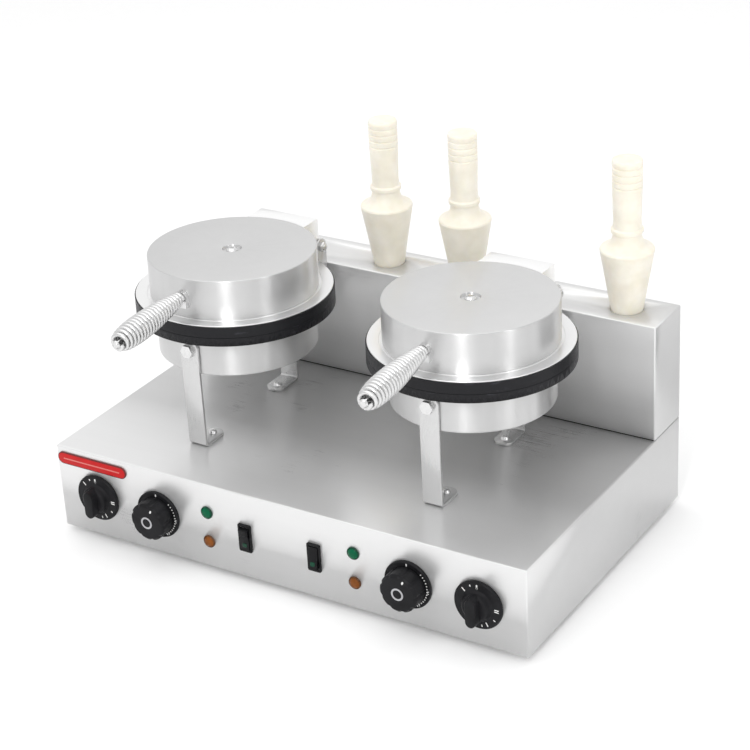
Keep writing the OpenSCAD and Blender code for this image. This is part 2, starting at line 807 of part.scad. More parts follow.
// see-saw paddle on its own pivot pins; up = 1 leaves the top half proud
module switch_rocker(x, up) {
    color(dark) panel(x, row_z) translate([0, 0, -pivot_in]) rotate([up * rock_deg, 0, 0]) {
        rotate([90, 0, 90]) translate([0, 0, -5.2]) linear_extrude(10.4)
            polygon([[-12, 6.6], [0, 4.9], [12, 6.6], [12, -1], [7, -4.6], [-7, -4.6], [-12, -1]]);
        rotate([0, 90, 0]) cylinder(r = 1.5, h = 12.6, center = true);
    }
}

module left_lower_can() { lower_can(-1); }
module left_lower_heater() { lower_heater(-1); }
module left_lower_plate() { lower_plate(-1); }
module left_hinge_base() { hinge_base(-1); }
module left_upper_plate() { upper_plate(-1); }
module left_upper_heater() { upper_heater(-1); }
module left_lid_ring() { lid_ring(-1); }
module left_lid_can() { lid_can(-1); }
module left_lid_screw() { lid_screw(-1); }
module left_lid_bracket() { lid_bracket(-1); }
module left_handle_rod() { handle_rod(-1); }
module left_handle_coil() { handle_coil(-1); }
module left_timer_body() { timer_body(-timer_x); }
module left_timer_knob() { timer_knob(-timer_x); }
module left_thermostat_body() { thermostat_body(-thermo_x); }
module left_thermostat_bezel() { thermostat_bezel(-thermo_x); }
module left_thermostat_knob() { thermostat_knob(-thermo_x); }
module left_green_lamp() { lamp(-lamp_x, green_z, [0.05, 0.45, 0.25]); }
module left_amber_lamp() { lamp(-lamp_x, amber_z, [0.75, 0.4, 0.12]); }
module left_switch_body() { switch_body(-switch_x); }
module left_switch_rocker() { switch_rocker(-switch_x, 1); }
module right_lower_can() { lower_can(1); }
module right_lower_heater() { lower_heater(1); }
module right_lower_plate() { lower_plate(1); }
module right_hinge_base() { hinge_base(1); }
module right_upper_plate() { upper_plate(1); }
module right_upper_heater() { upper_heater(1); }
module right_lid_ring() { lid_ring(1); }
module right_lid_can() { lid_can(1); }
module right_lid_screw() { lid_screw(1); }
module right_lid_bracket() { lid_bracket(1); }
module right_handle_rod() { handle_rod(1); }
module right_handle_coil() { handle_coil(1); }
module right_timer_body() { timer_body(timer_x); }
module right_timer_knob() { timer_knob(timer_x); }
module right_thermostat_body() { thermostat_body(thermo_x); }
module right_thermostat_bezel() { thermostat_bezel(thermo_x); }
module right_thermostat_knob() { thermostat_knob(thermo_x); }
module right_green_lamp() { lamp(lamp_x, green_z, [0.05, 0.45, 0.25]); }
module right_amber_lamp() { lamp(lamp_x, amber_z, [0.75, 0.4, 0.12]); }
module right_switch_body() { switch_body(switch_x); }
module right_switch_rocker() { switch_rocker(switch_x, -1); }

base_shell();
bottom_plate();
feet();
rear_housing();
rear_panel();
panel_screws();
cable_gland();
terminal_block();
badge();
cone_former_left();
cone_former_middle();
cone_former_right();
leg_bolts();
hinge_bolts();
left_front_leg();
left_rear_leg();
left_lower_can();
left_lower_heater();
left_lower_plate();
left_hinge_base();
left_upper_plate();
left_upper_heater();
left_lid_ring();
left_lid_can();
left_lid_screw();
left_lid_bracket();
left_handle_rod();
left_handle_coil();
left_timer_body();
left_timer_knob();
left_thermostat_body();
left_thermostat_bezel();
left_thermostat_knob();
left_green_lamp();
left_amber_lamp();
left_switch_body();
left_switch_rocker();
right_front_leg();
right_rear_leg();
right_lower_can();
right_lower_heater();
right_lower_plate();
right_hinge_base();
right_upper_plate();
right_upper_heater();
right_lid_ring();
right_lid_can();
right_lid_screw();
right_lid_bracket();
right_handle_rod();
right_handle_coil();
right_timer_body();
right_timer_knob();
right_thermostat_body();
right_thermostat_bezel();
right_thermostat_knob();
right_green_lamp();
right_amber_lamp();
right_switch_body();
right_switch_rocker();
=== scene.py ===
"""Double-head waffle cone maker: detailed meshes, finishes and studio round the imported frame.

Lengths inside the classes are millimetres in a local frame; a placement matrix puts them in metres in
the frame's own axes (+X operator's right, +Y away from the operator, +Z up).
"""
import json
import logging
import math
from dataclasses import dataclass, field
from enum import Enum

import bmesh
import bpy
from mathutils import Matrix, Vector


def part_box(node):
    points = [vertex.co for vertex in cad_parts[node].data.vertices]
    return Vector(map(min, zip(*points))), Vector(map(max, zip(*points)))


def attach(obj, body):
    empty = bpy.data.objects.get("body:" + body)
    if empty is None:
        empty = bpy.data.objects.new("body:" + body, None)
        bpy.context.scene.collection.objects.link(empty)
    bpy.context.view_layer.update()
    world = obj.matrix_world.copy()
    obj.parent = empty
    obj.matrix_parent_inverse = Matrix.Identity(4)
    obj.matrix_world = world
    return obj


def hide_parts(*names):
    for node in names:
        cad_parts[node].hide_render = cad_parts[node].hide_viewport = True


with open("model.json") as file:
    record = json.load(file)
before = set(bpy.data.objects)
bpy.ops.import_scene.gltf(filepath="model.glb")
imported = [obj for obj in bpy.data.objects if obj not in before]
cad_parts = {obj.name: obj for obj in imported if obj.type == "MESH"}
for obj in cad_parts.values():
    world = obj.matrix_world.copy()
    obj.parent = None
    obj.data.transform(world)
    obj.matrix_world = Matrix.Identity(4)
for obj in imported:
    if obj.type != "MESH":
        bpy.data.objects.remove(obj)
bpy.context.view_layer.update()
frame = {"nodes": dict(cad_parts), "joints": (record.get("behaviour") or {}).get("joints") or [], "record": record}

LOG = logging.getLogger("waffle_cone_maker")
MM = 0.001
LEAN = math.radians(1.0)
DROOP = math.radians(4.0)
HINGE_BEHIND = 110.2
HINGE_ABOVE = 76.8
LINES_PER_METRE = 4200
SLANT = 0.02
FLAT_FACING = 0.9
LINE_HEIGHT = 0.001
PIT_HEIGHT = 0.015
PORE_HEIGHT = 0.03
CAST_HEIGHT = 0.05

Profile = list[tuple[float, float]]


class Side(Enum):
    """The two heads and their controls."""

    LEFT = "left"
    RIGHT = "right"


class Grain(Enum):
    """How the grinding lines of a metal run."""

    ALONG_X = "along_x"
    ALONG_Z = "along_z"
    TURNED = "turned"


# ---------- placements ----------


def joint_named(name: str) -> dict:
    """The joint of that name in the frame."""
    return next(joint for joint in frame["joints"] if joint["name"] == name)


def head_place(side: Side) -> Matrix:
    """Placement of a head: origin on the can floor, Z along the leaning can axis."""
    turn = Matrix.Rotation(-LEAN, 4, "X")
    hinge = Vector(joint_named(f"{side.value}_lid_hinge")["pos_m"])
    origin = hinge - turn @ Vector((0, HINGE_BEHIND, HINGE_ABOVE)) * MM
    return Matrix.Translation(origin) @ turn @ Matrix.Scale(MM, 4)


def centre_of(node: str) -> Vector:
    """Middle of a CAD node's box, in metres."""
    low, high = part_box(node)
    return (low + high) / 2


def panel_place(node: str) -> Matrix:
    """Placement on the front panel behind a control: X right, Y up, Z out of the panel."""
    middle = centre_of(node)
    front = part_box("base_shell")[0].y
    spot = Matrix.Translation((middle.x, front, middle.z))
    return spot @ Matrix.Rotation(math.pi / 2, 4, "X") @ Matrix.Scale(MM, 4)


def box_in_mm(node: str) -> tuple[Vector, Vector]:
    """Lowest and highest corner of a CAD node, in millimetres."""
    low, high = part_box(node)
    return low / MM, high / MM


# ---------- finishes ----------


class NodeTree:
    """Small helper that adds and links shader nodes."""

    def __init__(self, name: str) -> None:
        """Starts a material with a Principled shader.

        Args:
            name: Name of the material.
        """
        self.material = bpy.data.materials.new(name)
        self.material.use_nodes = True
        self.tree = self.material.node_tree
        self.shader = self.tree.nodes["Principled BSDF"]

    def add(self, kind: str, inputs: dict | None = None, **settings: object) -> bpy.types.Node:
        """Adds a node.

        Args:
            kind: Blender's node type.
            inputs: Socket values by name or index.
            settings: Properties of the node.

        Returns:
            The new node.
        """
        node = self.tree.nodes.new(kind)
        for key, value in settings.items():
            setattr(node, key, value)
        for key, value in (inputs or {}).items():
            node.inputs[key].default_value = value
        return node

    def link(self, source: bpy.types.NodeSocket, target: bpy.types.NodeSocket) -> None:
        """Links an output to an input."""
        self.tree.links.new(source, target)

    def coordinates(self) -> bpy.types.NodeSocket:
        """Object coordinates."""
        return self.add("ShaderNodeTexCoord").outputs["Object"]

    def noise(self, vector: bpy.types.NodeSocket, scale: tuple[float, float, float], detail: float = 3.0,
              roughness: float = 0.5) -> bpy.types.NodeSocket:
        """Stretched noise.

        Args:
            vector: Coordinates in metres.
            scale: Lines per metre along each axis.
            detail: Octaves of the noise.
            roughness: Weight of the finer octaves.

        Returns:
            The noise factor.
        """
        stretch = self.add("ShaderNodeVectorMath", {1: scale}, operation="MULTIPLY")
        self.link(vector, stretch.inputs[0])
        grain = self.add("ShaderNodeTexNoise", {"Scale": 1.0, "Detail": detail, "Roughness": roughness})
        self.link(stretch.outputs[0], grain.inputs["Vector"])
        return grain.outputs[0]

    def spread(self, value: bpy.types.NodeSocket, low: float, high: float, start: float = 0.3,
               stop: float = 0.7) -> bpy.types.NodeSocket:
        """Maps the middle of a noise to a range."""
        ramp = self.add("ShaderNodeMapRange", {1: start, 2: stop, 3: low, 4: high})
        self.link(value, ramp.inputs[0])
        return ramp.outputs[0]

    def tint(self, value: bpy.types.NodeSocket, dark: tuple, light: tuple) -> None:
        """Drives the base colour between two colours."""
        mix = self.add("ShaderNodeMix", {6: (*dark, 1), 7: (*light, 1)}, data_type="RGBA")
        self.link(value, mix.inputs[0])
        self.link(mix.outputs[2], self.shader.inputs["Base Color"])

    def bump(self, height: bpy.types.NodeSocket, distance: float, strength: float) -> None:
        """Adds a bump to the shader, distance in millimetres."""
        node = self.add("ShaderNodeBump", {"Strength": strength, "Distance": distance * MM})
        self.link(height, node.inputs["Height"])
        self.link(node.outputs[0], self.shader.inputs["Normal"])


@dataclass(frozen=True)
class Steel:
    """Ground or turned bare metal with fine lines, faint smears and a stretched gloss.

    A metal share below 1 stands for the even scatter of the fine lines.
    """

    name: str
    grain: Grain
    colour: float = 0.72
    rough: float = 0.3
    stretch: float = 0.7
    lines: float = 0.02
    metal: float = 1.0
    centre: Matrix | None = None

    def build(self) -> bpy.types.Material:
        """Makes the material."""
        nodes = NodeTree(self.name)
        place = nodes.coordinates()
        if self.grain is Grain.TURNED:
            place, around = self.turned(nodes, place)
            fine, broad = (LINES_PER_METRE, 9, LINES_PER_METRE), (90, 2, 90)
        else:
            axis = 0 if self.grain is Grain.ALONG_X else 2
            fine = tuple(14 if k == axis else LINES_PER_METRE for k in range(3))
            broad = tuple(1.5 if k == axis else 60 for k in range(3))
            around = self.straight(nodes, axis)
        scratch = nodes.noise(place, fine, 4, 0.6)
        bands = nodes.noise(place, broad, 3, 0.5)
        smear = nodes.noise(place, (7, 7, 7), 4, 0.55)
        light, dark = (self.colour,) * 3, (0.97 * self.colour,) * 3
        both = nodes.add("ShaderNodeMath", operation="ADD")
        nodes.link(nodes.spread(scratch, 0, 0.5), both.inputs[0])
        nodes.link(nodes.spread(bands, 0, 0.5), both.inputs[1])
        nodes.tint(both.outputs[0], dark, light)
        gloss = nodes.add("ShaderNodeMath", operation="ADD")
        nodes.link(nodes.spread(scratch, self.rough * 0.95, self.rough * 1.05), gloss.inputs[0])
        nodes.link(nodes.spread(smear, -0.03, 0.05), gloss.inputs[1])
        nodes.link(gloss.outputs[0], nodes.shader.inputs["Roughness"])
        nodes.shader.inputs["Metallic"].default_value = self.metal
        nodes.shader.inputs["Anisotropic"].default_value = self.stretch
        nodes.link(around, nodes.shader.inputs["Tangent"])
        nodes.bump(scratch, LINE_HEIGHT, self.lines)
        return nodes.material

    def turned(self, nodes: NodeTree, place: bpy.types.NodeSocket) -> tuple:
        """Coordinates (radius, angle, height) round the can axis and the gloss direction.

        Args:
            nodes: The tree being built.
            place: Object coordinates.

        Returns:
            The turned coordinates and the tangent.
        """
        where, turn, _ = self.centre.decompose()
        local = nodes.add("ShaderNodeMapping", {1: where, 2: turn.to_euler()}, vector_type="TEXTURE")
        nodes.link(place, local.inputs[0])
        parts = nodes.add("ShaderNodeSeparateXYZ")
        nodes.link(local.outputs[0], parts.inputs[0])
        flat = nodes.add("ShaderNodeVectorMath", {1: (1, 1, 0)}, operation="MULTIPLY")
        nodes.link(local.outputs[0], flat.inputs[0])
        radius = nodes.add("ShaderNodeVectorMath", operation="LENGTH")
        nodes.link(flat.outputs[0], radius.inputs[0])
        angle = nodes.add("ShaderNodeMath", operation="ARCTAN2")
        nodes.link(parts.outputs[1], angle.inputs[0])
        nodes.link(parts.outputs[0], angle.inputs[1])
        turned = nodes.add("ShaderNodeCombineXYZ")
        nodes.link(radius.outputs["Value"], turned.inputs[0])
        nodes.link(angle.outputs[0], turned.inputs[1])
        nodes.link(parts.outputs[2], turned.inputs[2])
        axis = turn @ Vector((0, 0, 1))
        spin = nodes.add("ShaderNodeVectorMath", {0: axis}, operation="CROSS_PRODUCT")
        arm = nodes.add("ShaderNodeVectorMath", {1: where}, operation="SUBTRACT")
        nodes.link(place, arm.inputs[0])
        nodes.link(arm.outputs[0], spin.inputs[1])
        world = nodes.add("ShaderNodeVectorTransform", convert_from="OBJECT", convert_to="WORLD")
        nodes.link(self.flat_or(nodes, axis, spin.outputs[0]), world.inputs[0])
        return turned.outputs[0], self.across(nodes, world.outputs[0])

    def flat_or(self, nodes: NodeTree, axis: Vector, spin: bpy.types.NodeSocket) -> bpy.types.NodeSocket:
        """Grain that runs along X on flat faces square to the axis, and round the axis elsewhere.

        Args:
            nodes: The tree being built.
            axis: Axis of the turned part.
            spin: Direction round the axis.

        Returns:
            The grain direction.
        """
        local = nodes.add("ShaderNodeVectorTransform", convert_from="WORLD", convert_to="OBJECT",
                          vector_type="NORMAL")
        nodes.link(nodes.add("ShaderNodeNewGeometry").outputs["True Normal"], local.inputs[0])
        facing = nodes.add("ShaderNodeVectorMath", {1: axis}, operation="DOT_PRODUCT")
        nodes.link(local.outputs[0], facing.inputs[0])
        size = nodes.add("ShaderNodeMath", operation="ABSOLUTE")
        nodes.link(facing.outputs["Value"], size.inputs[0])
        flat = nodes.add("ShaderNodeMath", {1: FLAT_FACING}, operation="GREATER_THAN")
        nodes.link(size.outputs[0], flat.inputs[0])
        mix = nodes.add("ShaderNodeMix", {5: (1.0, 0.0, 0.0)}, data_type="VECTOR")
        nodes.link(flat.outputs[0], mix.inputs[0])
        nodes.link(spin, mix.inputs[4])
        return mix.outputs[1]

    def straight(self, nodes: NodeTree, axis: int) -> bpy.types.NodeSocket:
        """Gloss direction of straight grain along an axis."""
        along = nodes.add("ShaderNodeCombineXYZ", {axis: 1.0, 1: SLANT})
        world = nodes.add("ShaderNodeVectorTransform", convert_from="OBJECT", convert_to="WORLD")
        nodes.link(along.outputs[0], world.inputs[0])
        return self.across(nodes, world.outputs[0])

    def across(self, nodes: NodeTree, lines: bpy.types.NodeSocket) -> bpy.types.NodeSocket:
        """Direction in the surface that crosses the grinding lines."""
        normal = nodes.add("ShaderNodeNewGeometry").outputs["True Normal"]
        cross = nodes.add("ShaderNodeVectorMath", operation="CROSS_PRODUCT")
        nodes.link(normal, cross.inputs[0])
        nodes.link(lines, cross.inputs[1])
        unit = nodes.add("ShaderNodeVectorMath", operation="NORMALIZE")
        nodes.link(cross.outputs[0], unit.inputs[0])
        return unit.outputs[0]


@dataclass(frozen=True)
class Plated:
    """Bright plated or polished hardware with slight unevenness."""

    name: str
    colour: float = 0.8
    rough: float = 0.14
    pitting: float = 0.25

    def build(self) -> bpy.types.Material:
        """Makes the material."""
        nodes = NodeTree(self.name)
        place = nodes.coordinates()
        cloud = nodes.noise(place, (180, 180, 180), 3)
        pits = nodes.noise(place, (1400, 1400, 1400), 2)
        nodes.tint(nodes.spread(cloud, 0, 1), (self.colour * 0.86,) * 3, (self.colour,) * 3)
        nodes.link(nodes.spread(cloud, self.rough * 0.7, self.rough * 1.5), nodes.shader.inputs["Roughness"])
        nodes.shader.inputs["Metallic"].default_value = 1.0
        nodes.bump(pits, PIT_HEIGHT, self.pitting)
        return nodes.material


@dataclass(frozen=True)
class Moulded:
    """Moulded plastic or rubber with a fine spark-eroded grain."""

    name: str
    dark: tuple[float, float, float]
    light: tuple[float, float, float]
    rough: float = 0.4
    grain: float = 0.25
    shine: float = 0.5
    depth: float = 0.0

    def build(self) -> bpy.types.Material:
        """Makes the material."""
        nodes = NodeTree(self.name)
        place = nodes.coordinates()
        cloud = nodes.noise(place, (60, 60, 60), 4)
        pores = nodes.noise(place, (1800, 1800, 1800), 2)
        nodes.tint(nodes.spread(cloud, 0, 1), self.dark, self.light)
        nodes.link(nodes.spread(cloud, self.rough * 0.85, self.rough * 1.15), nodes.shader.inputs["Roughness"])
        nodes.shader.inputs["Specular IOR Level"].default_value = self.shine
        if self.depth:
            nodes.shader.inputs["Subsurface Weight"].default_value = self.depth
            nodes.shader.inputs["Subsurface Radius"].default_value = (1.0, 0.8, 0.5)
            nodes.shader.inputs["Subsurface Scale"].default_value = 0.004
        nodes.bump(pores, PORE_HEIGHT, self.grain)
        return nodes.material


@dataclass(frozen=True)
class PlateCoat:
    """Satin black release coat over cast metal, with rubbed spots along the edge."""

    name: str

    def build(self) -> bpy.types.Material:
        """Makes the material."""
        nodes = NodeTree(self.name)
        place = nodes.coordinates()
        cast = nodes.noise(place, (420, 420, 420), 4, 0.6)
        rubbed = nodes.noise(place, (45, 45, 260), 4, 0.6)
        nodes.tint(nodes.spread(rubbed, 0, 1, 0.62, 0.78), (0.008, 0.008, 0.01), (0.045, 0.046, 0.055))
        nodes.link(nodes.spread(cast, 0.36, 0.5), nodes.shader.inputs["Roughness"])
        nodes.shader.inputs["Specular IOR Level"].default_value = 0.25
        nodes.bump(cast, CAST_HEIGHT, 0.25)
        return nodes.material


class Finishes:
    """Every finish of the machine, made once and shared."""

    def __init__(self) -> None:
        """Builds the shared materials."""
        self.deck = Steel("steel_deck", Grain.ALONG_X, 0.8, 0.3, 0.5, metal=0.62).build()
        self.housing = Steel("steel_housing", Grain.ALONG_X, 0.84, 0.34, 0.6, metal=0.55).build()
        self.strip = Steel("steel_strip", Grain.ALONG_Z, 0.64, 0.28, 0.4, metal=0.85).build()
        self.bracket = Steel("steel_bracket", Grain.ALONG_X, 0.94, 0.3, 0.4, metal=0.7).build()
        self.spun = {
            side: Steel(f"steel_spun_{side.value}", Grain.TURNED, 0.68, 0.36, 0.94, metal=0.9,
                        centre=head_place(side)).build()
            for side in Side
        }
        self.ring = {
            side: Steel(f"ring_turned_{side.value}", Grain.TURNED, 0.92, 0.3, 0.5, centre=head_place(side)).build()
            for side in Side
        }
        self.zinc = Plated("zinc_bright", 0.78, 0.2).build()
        self.chrome = Plated("chrome_wire", 0.76, 0.3, 0.03).build()
        self.coat = PlateCoat("coat_black").build()
        self.heater = Plated("heater_oxide", 0.3, 0.5).build()
        self.knob = Moulded("knob_satin", (0.008, 0.008, 0.009), (0.016, 0.016, 0.018), 0.42, 0.3, shine=0.12).build()
        self.black = Moulded("switch_gloss", (0.004, 0.004, 0.005), (0.008, 0.008, 0.009), 0.3, 0.15,
                             shine=0.15).build()
        self.white = Moulded("mark_white", (0.75, 0.75, 0.74), (0.86, 0.86, 0.85), 0.5).build()
        self.insulator = Moulded("insulator_pale", (0.7, 0.7, 0.66), (0.8, 0.8, 0.76), 0.45).build()
        self.red = Moulded("badge_red", (0.46, 0.004, 0.005), (0.54, 0.009, 0.01), 0.3, 0.1, shine=0.2).build()
        self.pink = Moulded("badge_stripe_pink", (0.6, 0.16, 0.14), (0.68, 0.2, 0.18), 0.3, 0.1, shine=0.2).build()
        self.red_rim = Moulded("badge_rim", (0.12, 0.01, 0.01), (0.16, 0.02, 0.02), 0.3, 0.1, shine=0.3).build()
        self.green = Moulded("lens_green", (0.0, 0.085, 0.035), (0.001, 0.14, 0.062), 0.15, 0.1, shine=0.15).build()
        self.green_rim = Moulded("rim_green", (0.0, 0.035, 0.016), (0.001, 0.06, 0.03), 0.25, 0.1, shine=0.3).build()
        self.amber = Moulded("lens_amber", (0.14, 0.044, 0.008), (0.24, 0.075, 0.014), 0.15, 0.1, shine=0.15).build()
        self.amber_rim = Moulded("rim_amber", (0.075, 0.028, 0.008), (0.12, 0.045, 0.012), 0.25, 0.1,
                                 shine=0.3).build()
        self.nylon = Moulded("former_nylon", (0.83, 0.785, 0.67), (0.91, 0.87, 0.77), 0.36, 0.15, depth=0.3).build()
        self.rubber = Moulded("foot_rubber", (0.012, 0.012, 0.012), (0.03, 0.03, 0.03), 0.7, 0.5).build()
        self.grey = Moulded("ring_grey", (0.42, 0.42, 0.44), (0.5, 0.5, 0.52), 0.35, 0.1).build()
        self.card = Moulded("studio_card", (0.03, 0.03, 0.03), (0.035, 0.035, 0.035), 0.9, 0.0).build()
        self.floor = Moulded("studio_floor", (0.95, 0.95, 0.95), (0.96, 0.96, 0.96), 0.8, 0.0).build()


# ---------- mesh operators ----------


def rounded_profile(corners: list[tuple[float, float, float]], steps: int = 5) -> Profile:
    """Fillets the corners of an open outline.

    Args:
        corners: Points as (across, along, corner radius); a radius of 0 stays sharp.
        steps: Segments of each fillet.

    Returns:
        The outline's points.
    """
    points: Profile = []
    last = len(corners) - 1
    for k, (x, y, radius) in enumerate(corners):
        here = Vector((x, y))
        if k in (0, last) or radius == 0:
            points.append((x, y))
            continue
        back = (Vector(corners[k - 1][:2]) - here).normalized()
        ahead = (Vector(corners[k + 1][:2]) - here).normalized()
        half = back.angle(ahead) / 2
        middle = here + (back + ahead).normalized() * radius / math.sin(half)
        first = here + back * radius / math.tan(half) - middle
        second = here + ahead * radius / math.tan(half) - middle
        for step in range(steps + 1):
            share = step / steps
            arm = first.slerp(second, share).normalized() * radius if first.angle(second) > 1e-4 else first
            points.append(tuple(middle + arm))
    return points


def lathe(profile: Profile, steps: int = 144, closed: bool = False) -> bmesh.types.BMesh:
    """Turns an outline of (radius, height) round Z.

    Args:
        profile: The outline.
        steps: Segments round the axis.
        closed: Joins the last point to the first, for a ring or a shell with a wall.

    Returns:
        The turned mesh, closed and facing outwards.
    """
    mesh = bmesh.new()
    verts = [mesh.verts.new((radius, 0, height)) for radius, height in profile]
    edges = [mesh.edges.new(pair) for pair in zip(verts, verts[1:])]
    if closed:
        edges.append(mesh.edges.new((verts[-1], verts[0])))
    bmesh.ops.spin(mesh, geom=verts + edges, cent=(0, 0, 0), axis=(0, 0, 1), angle=2 * math.pi, steps=steps,
                   use_merge=True)
    bmesh.ops.remove_doubles(mesh, verts=mesh.verts, dist=1e-4)
    bmesh.ops.recalc_face_normals(mesh, faces=mesh.faces)
    return mesh


def slab(outline: Profile, height: float, bevel: float = 0.3, segments: int = 2) -> bmesh.types.BMesh:
    """Extrudes a flat outline along Z and eases its edges.

    Args:
        outline: Corners of the face, counter-clockwise.
        height: Thickness of the slab.
        bevel: Width of the eased edges.
        segments: Segments of the eased edges.

    Returns:
        The closed slab, from Z 0 up.
    """
    mesh = bmesh.new()
    face = mesh.faces.new([mesh.verts.new((x, y, 0)) for x, y in outline])
    top = bmesh.ops.extrude_face_region(mesh, geom=[face])
    moved = [item for item in top["geom"] if isinstance(item, bmesh.types.BMVert)]
    bmesh.ops.translate(mesh, verts=moved, vec=(0, 0, height))
    bmesh.ops.recalc_face_normals(mesh, faces=mesh.faces)
    if bevel:
        ease(mesh, bevel, segments)
    return mesh


def ease(mesh: bmesh.types.BMesh, width: float, segments: int = 2, angle: float = 35.0) -> None:
    """Bevels the edges that turn by more than an angle.

    Args:
        mesh: The mesh to change.
        width: Width of the bevel.
        segments: Segments of the bevel.
        angle: Least turn of an edge, in degrees.
    """
    limit = math.radians(angle)
    sharp = [edge for edge in mesh.edges if edge.is_manifold and edge.calc_face_angle() > limit]
    bmesh.ops.bevel(mesh, geom=sharp, offset=width, affect="EDGES", segments=segments, profile=0.5,
                    material=-1, clamp_overlap=True)


def stadium(length: float, width: float, steps: int = 16) -> Profile:
    """Outline of a slab with round ends, counter-clockwise."""
    reach, radius = (length - width) / 2, width / 2
    points = []
    for end in (1, -1):
        for step in range(steps + 1):
            angle = math.pi * (step / steps - 0.5)
            points.append((end * (reach + radius * math.cos(angle)), end * radius * math.sin(angle)))
    return points


def rounded_rectangle(width: float, height: float, radius: float, steps: int = 5) -> Profile:
    """Outline of a rectangle with round corners, counter-clockwise."""
    points = []
    for k, (i, j) in enumerate(((1, -1), (1, 1), (-1, 1), (-1, -1))):
        for step in range(steps + 1):
            angle = math.pi / 2 * (k - 1 + step / steps)
            points.append((i * (width / 2 - radius) + radius * math.cos(angle),
                           j * (height / 2 - radius) + radius * math.sin(angle)))
    return points


def merge_into(target: bmesh.types.BMesh, *others: bmesh.types.BMesh) -> bmesh.types.BMesh:
    """Adds other meshes to the first one, as separate closed shells."""
    for other in others:
        spare = bpy.data.meshes.new("spare")
        other.to_mesh(spare)
        other.free()
        target.from_mesh(spare)
        bpy.data.meshes.remove(spare)
    return target


def moved(mesh: bmesh.types.BMesh, matrix: Matrix) -> bmesh.types.BMesh:
    """Transforms a mesh and returns it."""
    bmesh.ops.transform(mesh, matrix=matrix, verts=mesh.verts)
    return mesh


@dataclass
class Piece:
    """One finished piece and how it hangs on the frame."""

    name: str
    body: str
    slot: str
    material: bpy.types.Material
    stands_for: tuple[str, ...] = ()
    smooth: float = 30.0

    def make(self, mesh: bmesh.types.BMesh, place: Matrix) -> bpy.types.Object:
        """Turns a mesh into the piece's object, riding on its body.

        Args:
            mesh: The mesh in its local frame; it is freed.
            place: Placement in the frame.

        Returns:
            The new object.
        """
        bmesh.ops.transform(mesh, matrix=place, verts=mesh.verts)
        for face in mesh.faces:
            face.smooth = True
        data = bpy.data.meshes.new(self.name)
        mesh.to_mesh(data)
        mesh.free()
        data.set_sharp_from_angle(angle=math.radians(self.smooth))
        data.materials.append(self.material)
        thing = bpy.data.objects.new(self.name, data)
        bpy.context.scene.collection.objects.link(thing)
        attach(thing, self.body)
        if self.stands_for:
            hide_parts(*self.stands_for)
        LOG.info("%s: %d faces on %s", self.name, len(data.polygons), self.body)
        return thing


def slot_of(node: str) -> str:
    """Material slot of a CAD node in the record."""
    return next(part["material_slot"] for part in frame["record"]["subparts"] if part["node"] == node)


def body_of(node: str) -> str:
    """Body that carries a CAD node."""
    bodies = frame["record"]["behaviour"]["bodies"]
    return next(body for body, nodes in bodies.items() if node in nodes)


def refined(node: str, material: bpy.types.Material, width: float = 0.25, segments: int = 2) -> bpy.types.Object:
    """Replaces a CAD node by a merged copy with eased edges.

    Args:
        node: The CAD node.
        material: Finish of the piece.
        width: Width of the eased edges in millimetres; 0 keeps them sharp.
        segments: Segments of the eased edges.

    Returns:
        The new object.
    """
    mesh = bmesh.new()
    mesh.from_mesh(frame["nodes"][node].data)
    bmesh.ops.remove_doubles(mesh, verts=mesh.verts, dist=1e-6)
    if width:
        bmesh.ops.dissolve_limit(mesh, angle_limit=math.radians(0.5), verts=mesh.verts, edges=mesh.edges)
        ease(mesh, width * MM, segments)
    piece = Piece(f"{node}_shape", body_of(node), slot_of(node), material, (node,))
    return piece.make(mesh, Matrix.Identity(4))


def dress(node: str, material: bpy.types.Material) -> None:
    """Gives a CAD node a material and leaves its mesh alone."""
    data = frame["nodes"][node].data
    data.materials.clear()
    data.materials.append(material)


# ---------- base ----------


